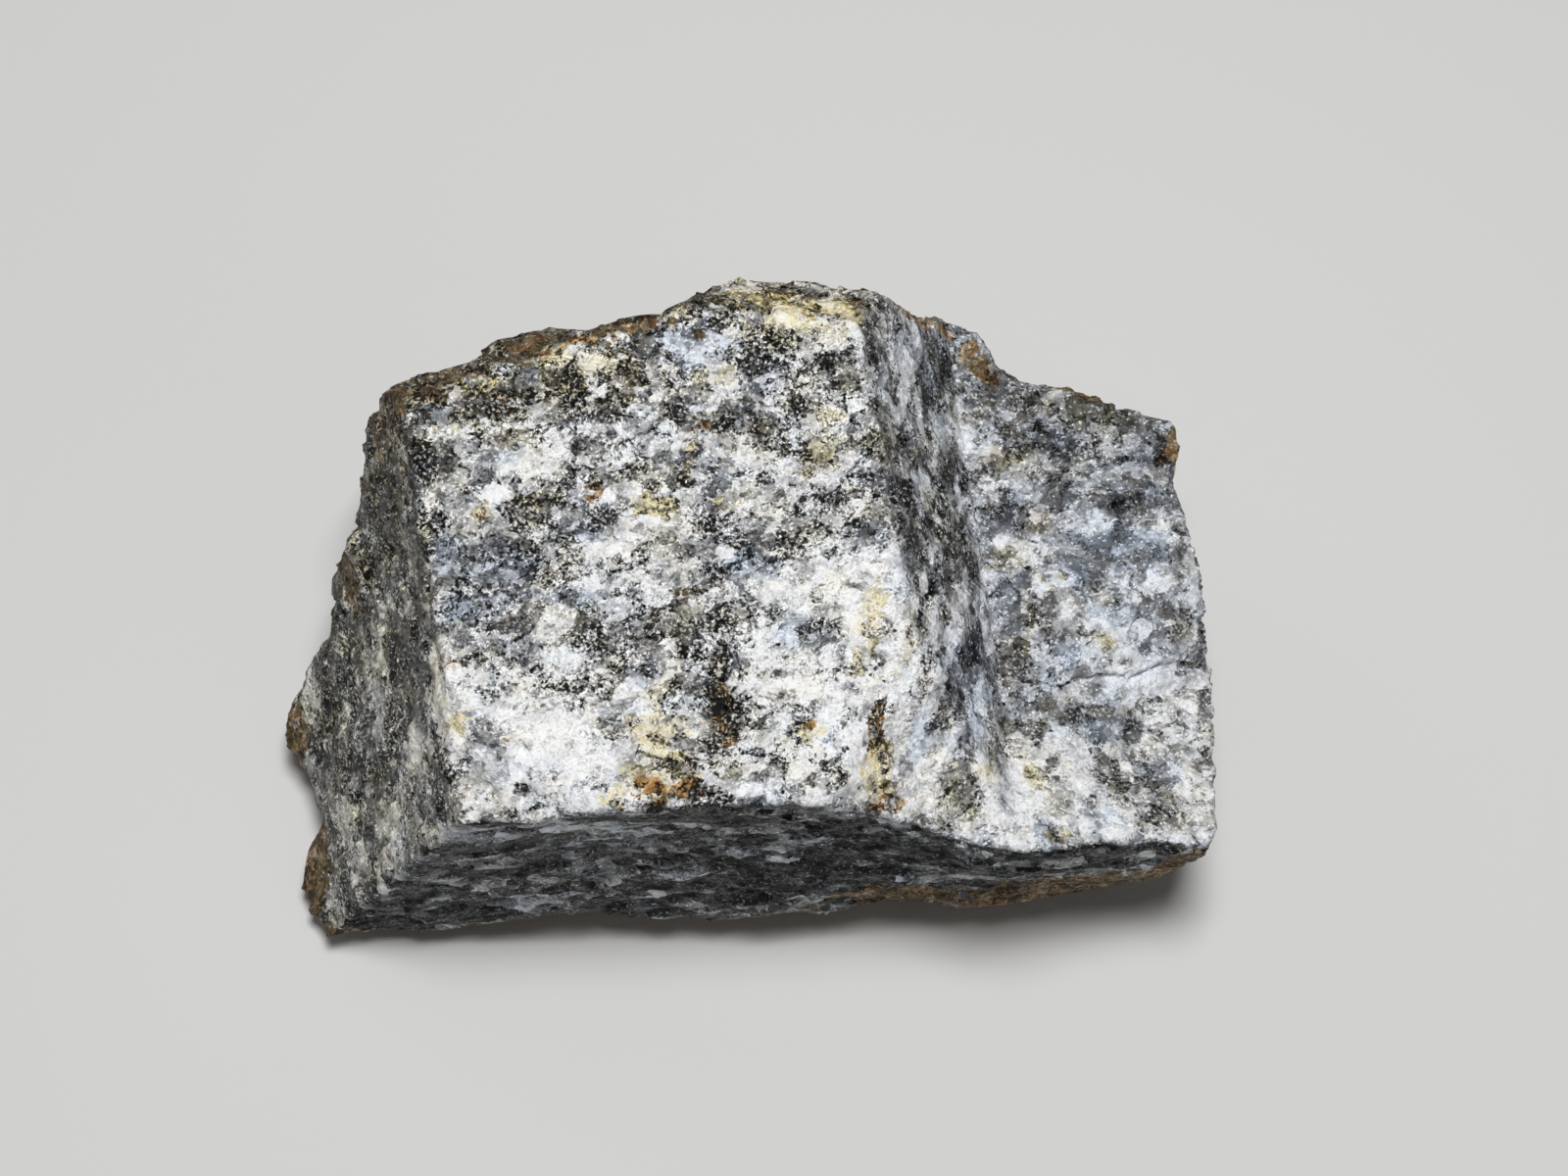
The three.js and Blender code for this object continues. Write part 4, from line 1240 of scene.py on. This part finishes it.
            (13.6, -1.6, 0.7, 3.6, -12, 0.9), (17.6, -19, 1, 3.4, -10, 1.1),
        )),
        *patches_of(Mineral.OLIVE, (
            (13, 12.8, 1, 1.4, 0, 0.8), (16.4, 6, 1.4, 2, -14, 0.6),
        )),
        # The shelf, upper half
        *patches_of(Mineral.WHITE, (
            (12.6, 23.6, 1.1, 1.4, -14, 0.8), (14.6, 21.8, 1.2, 2, -14, 0.4), (18.8, 18, 1.4, 1.6, 0, 0.5),
            (18.4, 15, 1.3, 1.8, 0, 0.7), (20, 14, 1.6, 2, 0, 0.3), (15.4, 13.5, 0.9, 4, -12, 0.8),
            (34, 11.4, 1.8, 1, 0, 0.5), (29, 11, 1, 0.7, 0, 0.5), (21, 10.6, 1.4, 0.7, 0, 0.9),
            (34.2, 10.4, 1.4, 1.2, 0, 0.7), (29.4, 8.4, 1.4, 1.4, 0, 0.7), (17.6, 8, 0.5, 2, -14, 0.6),
            (24.6, 7.2, 1.8, 0.8, 0, 0.6), (37, 6.8, 2.2, 1.8, -20, 0.8), (31.4, 6.6, 1.7, 1.4),
            (23, 4.4, 2.6, 1.2, 0, 0.6), (24, 3.8, 2.6, 1.5, 0, 0.7), (33, 1.8, 1.2, 0.7, 0, 0.6),
            (27.2, 1, 1.8, 1.1), (36, 1, 3, 1.4, -10, 0.5),
        )),
        *patches_of(Mineral.BLUE, (
            (15, 22, 2, 4, -14, 0.8), (27, 15, 2.4, 1.4, -20), (35, 9, 2.6, 2.4, 0, 0.9), (33.6, 4, 4, 2.2),
            (30, 2, 2, 3, 0, 0.6),
        )),
        *patches_of(Mineral.DARK, (
            (18, 23.4, 1.4, 1, -30), (16, 22, 1.1, 1.5), (22.6, 19.6, 2.6, 1.4), (23.4, 19.6, 2.4, 1.5),
            (24, 17.6, 1.4, 1.8, 0, 0.5), (33, 17.6, 4, 1.2, -14, 0.9), (20, 17.5, 1.6, 2.6, 0, 0.7),
            (28.6, 16.4, 2, 1, -20, 0.5), (23, 15, 1.5, 1.3, 0, 0.7), (26, 14.4, 4.6, 1.8, -10, 0.7),
            (38.8, 14, 1.4, 2, 0, 0.8), (31.6, 13.8, 1.2, 1, 0, 0.7), (29, 13.4, 2, 1.2, -10, 0.8),
            (21, 12.6, 1.3, 1.1, 0, 0.7), (16.6, 12, 0.7, 1.6, -10), (30.4, 12, 1.2, 1, 0, 0.7),
            (28, 11, 1.8, 1.2, 0, 0.7), (31, 9, 1.3, 1, 0, 0.5), (35.6, 9, 0.8, 1.6, 10, 0.5),
            (33.4, 8, 1.6, 2.6, 10, 0.5), (21.4, 7.6, 1.9, 0.7, 0, 1.3), (36.4, 7, 1.3, 1.2, 0, 0.8),
            (39.6, 4, 0.9, 3, -10, 0.6),
        )),
        *patches_of(Mineral.OLIVE, (
            (29, 18.4, 8, 1.3, -12, 0.6), (30, 17, 2.6, 1, -20, 0.6), (24, 15, 2.4, 2.2, 0, 0.6),
            (22, 13, 1.4, 1.8, 0, 0.8), (25.2, 6.8, 1.6, 1, 0, 1.2), (22, 3, 1.8, 1.2, 0, 0.8),
            (22.2, 2.6, 1.4, 1, 0, 0.7),
        )),
        *patches_of(Mineral.OCHRE, (
            (27, 0.9, 1.5, 0.9, 0, 0.5),
        )),
        *patches_of(Mineral.RUST, (
            (38.8, 13.5, 1, 1.4, 0, 0.6), (24.2, 8.4, 1, 0.5, 0, 0.6),
        )),
        *patches_of(Mineral.CRUST, (
            (15, 26.6, 4, 0.7, -14, 0.7), (19, 24.2, 1.3, 1.2, -30, 0.7), (20.4, 22, 1.5, 1, -40, 0.7),
            (31, 20, 5, 0.6, -16, 0.7), (39.8, 14, 0.7, 2.8, 0, 0.7),
        )),
        # The shelf, lower half
        *patches_of(Mineral.WHITE, (
            (24.6, -1, 1.4, 2.4, -20, 0.3), (28.4, -2, 1, 1, 0, 0.9), (32, -3, 2.4, 3, 0, 0.8),
            (35, -3.4, 1.6, 2.4, 0, 0.8), (34.5, -4, 3, 4, 0, 0.7), (31.8, -5.6, 1.4, 0.9, 0, 0.8),
            (28.6, -6.2, 2.6, 1.6, 0, 0.8), (33.6, -7.4, 3, 1.8, 0, 0.9), (35, -8, 3, 1.3, 15),
            (36, -8.6, 2.2, 1.4, 0, 0.8), (31.6, -9, 3, 0.9, 8, 0.8), (37.4, -9, 2, 1.8),
            (29, -10.4, 2, 1.2, 0, 0.7), (30.6, -10.6, 1.6, 1.2, 0, 0.9), (31.4, -10.6, 1.5, 1.2, 0, 0.8),
            (40.6, -12, 1, 1.7, 0, 0.9), (36.4, -12.4, 2, 1.6, 0, 0.6), (19, -17, 1, 1.8, -10, 0.8),
            (28.6, -17.6, 1.4, 2, 0, 0.8), (34.4, -18.4, 1.3, 0.9, 0, 0.7), (21, -20, 1.6, 3.4),
            (41, -20, 1.6, 2.4, 0, 0.6), (22.6, -20.6, 3, 4.6, 0, 1.1), (31, -23, 4.4, 1.8, 0, 0.9),
            (19, -24, 2, 1.6), (30.6, -24, 1.6, 1.1, 0, 0.8), (40, -24.6, 2.2, 1.6, 0, 0.9),
            (22, -25, 2.6, 1.6, 0, 1.3), (36.4, -26.6, 2.4, 1.2, 0, 0.9),
        )),
        *patches_of(Mineral.BLUE, (
            (34, -2.6, 4, 1, 0, 0.7), (28, -6, 1.6, 2, 0, 0.8), (33, -14, 3.4, 1.6, 0, 0.7),
            (36, -17, 3.4, 1.6, -30, 0.7), (26, -18, 1, 1.6, 0, 0.8), (21, -21, 0.8, 2, 0, 0.5),
            (31, -23, 4, 1.4, 0, 0.5), (25, -24, 1.6, 1.4, 0, 0.8),
        )),
        *patches_of(Mineral.DARK, (
            (33, -1.2, 0.9, 0.6, 30, 0.9), (26, -2, 1.4, 1.4, -40, 0.8), (38.8, -2.6, 0.6, 2.4, 35),
            (40, -4, 1, 1.8, 0, 0.7), (22.8, -7, 1.8, 1.8, 0, 0.9), (24.4, -8.6, 1.3, 1.4, 0, 0.8),
            (22.8, -9.4, 1.4, 1.6, 0, 0.8), (25.6, -11.4, 1.2, 0.9), (31.6, -12.4, 1.6, 0.9, 0, 0.7),
            (33, -12.4, 1.4, 1.2, 0, 0.7), (28, -12.6, 2, 0.6, 10, 0.7), (33.8, -12.8, 1.3, 2.4, 20, 0.6),
            (42, -13, 1, 4, 0, 0.9), (23.4, -13.6, 2.6, 0.9, 0, 0.9), (23, -14.4, 1.8, 1.4, 0, 0.8),
            (37, -14.6, 1.6, 1.2, 0, 0.8), (20.6, -15.4, 1.4, 0.8), (23.6, -15.4, 1.8, 1.2, 0, 0.7),
            (38, -16, 1.2, 0.8, 0, 0.6), (31, -16.4, 0.6, 1.4, 30, 0.6), (26.6, -17.4, 1.6, 1.4, 0, 0.7),
            (25, -18, 1.3, 1.3, 0, 0.7), (32, -18, 1.6, 1.3, 0, 0.7), (41, -18, 1.2, 2.4, 0, 0.8),
            (33.4, -19.6, 2, 1.4, 0, 0.7), (36.6, -19.6, 1.5, 0.8, -30, 0.9), (35.6, -21.4, 1.8, 1.2, 0, 0.8),
            (34.6, -22, 1.8, 1), (38.2, -22, 0.8, 2.2, 10), (36, -22.6, 2, 1.1, 0, 0.9),
        )),
        *patches_of(Mineral.OLIVE, (
            (31.6, -0.6, 1.2, 1.2, 0, 0.6), (24, -3, 1.2, 3, 0, 0.6), (31, -5, 2, 1, 0, 0.5),
            (25.4, -18.6, 1.8, 1.6, 0, 0.8),
        )),
        *patches_of(Mineral.OCHRE, (
            (31.8, -5.6, 1.2, 0.8, 0, 0.5), (20, -17.4, 1.2, 1.4, 0, 0.6), (26.6, -23.8, 1.4, 0.8, 20, 0.6),
        )),
        # The left face
        *patches_of(Mineral.WHITE, (
            (-36, -17, 1.8, 3, 0, 0.7), (-39, -24.5, 1.6, 3.5, 0, 0.8), (-41.6, -27.4, 2, 2),
        )),
        *patches_of(Mineral.DARK, (
            (-37.5, 17.4, 1.2, 3, 0, 0.9), (-38.6, 8, 1.8, 5, 0, 0.8), (-34.4, 3, 1, 3, 0, 0.7),
            (-42.6, -3, 1.6, 4, 0, 0.7), (-46, -10, 1.3, 5, 0, 0.7), (-46.4, -12, 1.4, 3),
            (-32, -17.4, 0.9, 1.4, 0, 0.8),
        )),
        *patches_of(Mineral.OLIVE, (
            (-37, 17.4, 2, 3, 0, 0.9), (-38, 14, 1.6, 5, 0, 0.8), (-42, 3, 1.6, 3, 20, 0.8),
        )),
        *patches_of(Mineral.CRUST, (
            (-37, 18, 1.6, 2, 0, 0.5), (-39.4, 15, 1.2, 4.5, 0, 0.5), (-44, 1.5, 1.1, 4.5, 15, 0.7),
            (-51, -15.5, 1.6, 3, 0, 1.2), (-49, -29.5, 1.8, 4.5, -8, 1.2),
        )),
        # The front face
        *patches_of(Mineral.WHITE, (
            (-19, -23.2, 4, 1, 0, 0.8), (-30, -23.4, 5, 1.3, 0, 0.9), (-39.5, -29.5, 1.6, 2, 0, 0.8),
        )),
        *patches_of(Mineral.CRUST, (
            (38, -28.2, 5, 1.2, 30, 0.9), (27, -30.5, 9, 1.6, 8), (12, -31, 7, 1.1, 0, 0.8),
            (-45, -37, 5, 1.8, -8, 1.1),
        )),
    )  # fmt: skip

    def build(self) -> bpy.types.Object:
        """Builds and dresses the stone, and has it stand for its solid."""
        points, triangles = self.form.draw()
        mesh = bpy.data.meshes.new("scapolite_rock_skin")
        mesh.from_pydata(self.form.placed(points).tolist(), [], triangles.tolist())
        mesh.polygons.foreach_set("use_smooth", np.ones(len(triangles), bool))
        for name, values in self.mask_values(points).items():
            stored = mesh.attributes.new(name, "FLOAT", "POINT")
            stored.data.foreach_set("value", values.astype(np.float32))
        mesh.materials.append(self.look.build())
        stone = bpy.data.objects.new("scapolite_rock_skin", mesh)
        bpy.context.scene.collection.objects.link(stone)
        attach(stone, "root")
        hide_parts(NODE)
        return stone

    def mask_values(self, points: Array) -> dict[str, Array]:
        """The numbers that the finish reads at each point: the minerals' patches and the form's own masks."""
        values = {mineral.value: np.zeros(len(points)) for mineral in Mineral}
        for patch in self.patches:
            held = values[patch.mineral.value]
            np.maximum(held, patch.weight(points), out=held)
        return {**values, **self.form.masks}


@dataclass(frozen=True)
class Studio:
    """The floor, the lights and the camera at the photograph's angle."""

    lens: float = 85.0
    sensor: float = 36.0
    # How far the camera is from the drawn level 0, in mm.
    camera_distance: float = 362.5
    clip: tuple[float, float] = (0.01, 20.0)
    floor_side: float = 8.0
    floor_colour: Point = (0.7, 0.7, 0.69)
    floor_roughness: float = 0.9
    # Each lamp's place and side in metres, and its power in watts.
    lamps: tuple[tuple[str, Point, float, float], ...] = (
        ("key", (0.03, -0.02, 0.62), 0.14, 3.2),
        ("fill", (0.45, -0.35, 0.5), 0.4, 0.15),
        ("rim", (-0.45, 0.35, 0.4), 0.4, 0.25),
    )
    lit_point: Point = (0.0, 0.0, 0.02)
    room_colour: Point = (0.95, 0.97, 1.0)
    room_strength: float = 0.07

    def build(self, form: StoneForm) -> None:
        """Sets the stage round the stone."""
        self.floor()
        self.camera(form)
        for one in self.lamps:
            self.lamp(*one)
        world = bpy.data.worlds.new("studio")
        world.use_nodes = True
        background = world.node_tree.nodes["Background"]
        background.inputs["Color"].default_value = (*self.room_colour, 1)
        background.inputs["Strength"].default_value = self.room_strength
        bpy.context.scene.world = world
        bpy.context.scene.view_settings.view_transform = "Standard"

    def floor(self) -> None:
        """A plain pale floor."""
        half = self.floor_side / 2
        mesh = bpy.data.meshes.new("floor")
        square = [(-half, -half, 0), (half, -half, 0), (half, half, 0), (-half, half, 0)]
        mesh.from_pydata(square, [], [(0, 1, 2, 3)])
        material = bpy.data.materials.new("pale_floor")
        material.use_nodes = True
        shader = material.node_tree.nodes["Principled BSDF"]
        shader.inputs["Base Color"].default_value = (*self.floor_colour, 1)
        shader.inputs["Roughness"].default_value = self.floor_roughness
        mesh.materials.append(material)
        floor = bpy.data.objects.new("floor", mesh)
        bpy.context.scene.collection.objects.link(floor)

    def camera(self, form: StoneForm) -> None:
        """The camera, square to the broad face as drawn."""
        data = bpy.data.cameras.new("camera")
        data.lens, data.sensor_width = self.lens, self.sensor
        data.clip_start, data.clip_end = self.clip
        camera = bpy.data.objects.new("camera", data)
        camera.location = form.placed(np.array([[0, 0, self.camera_distance]]))[0]
        camera.rotation_euler = (math.radians(form.lean), 0, 0)
        bpy.context.scene.collection.objects.link(camera)
        bpy.context.scene.camera = camera

    def lamp(self, name: str, at: Point, side: float, watts: float) -> None:
        """A square soft light that points at the stone."""
        data = bpy.data.lights.new(name, "AREA")
        data.size, data.energy = side, watts
        lamp = bpy.data.objects.new(name, data)
        lamp.location = at
        aim = Vector(self.lit_point) - Vector(at)
        lamp.rotation_euler = aim.to_track_quat("-Z", "Y").to_euler()
        bpy.context.scene.collection.objects.link(lamp)


def corners(box: tuple) -> list[list[float]]:
    """A box's two corners as plain lists."""
    return [list(corner) for corner in box]


def main() -> None:
    """Loads the frame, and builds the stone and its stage."""
    logging.basicConfig(level=logging.INFO)
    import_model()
    stone = Stone()
    made = stone.build()
    log.info("%s has %d triangles", made.name, len(made.data.polygons))
    Studio().build(stone.form)


if __name__ == "__main__":
    main()
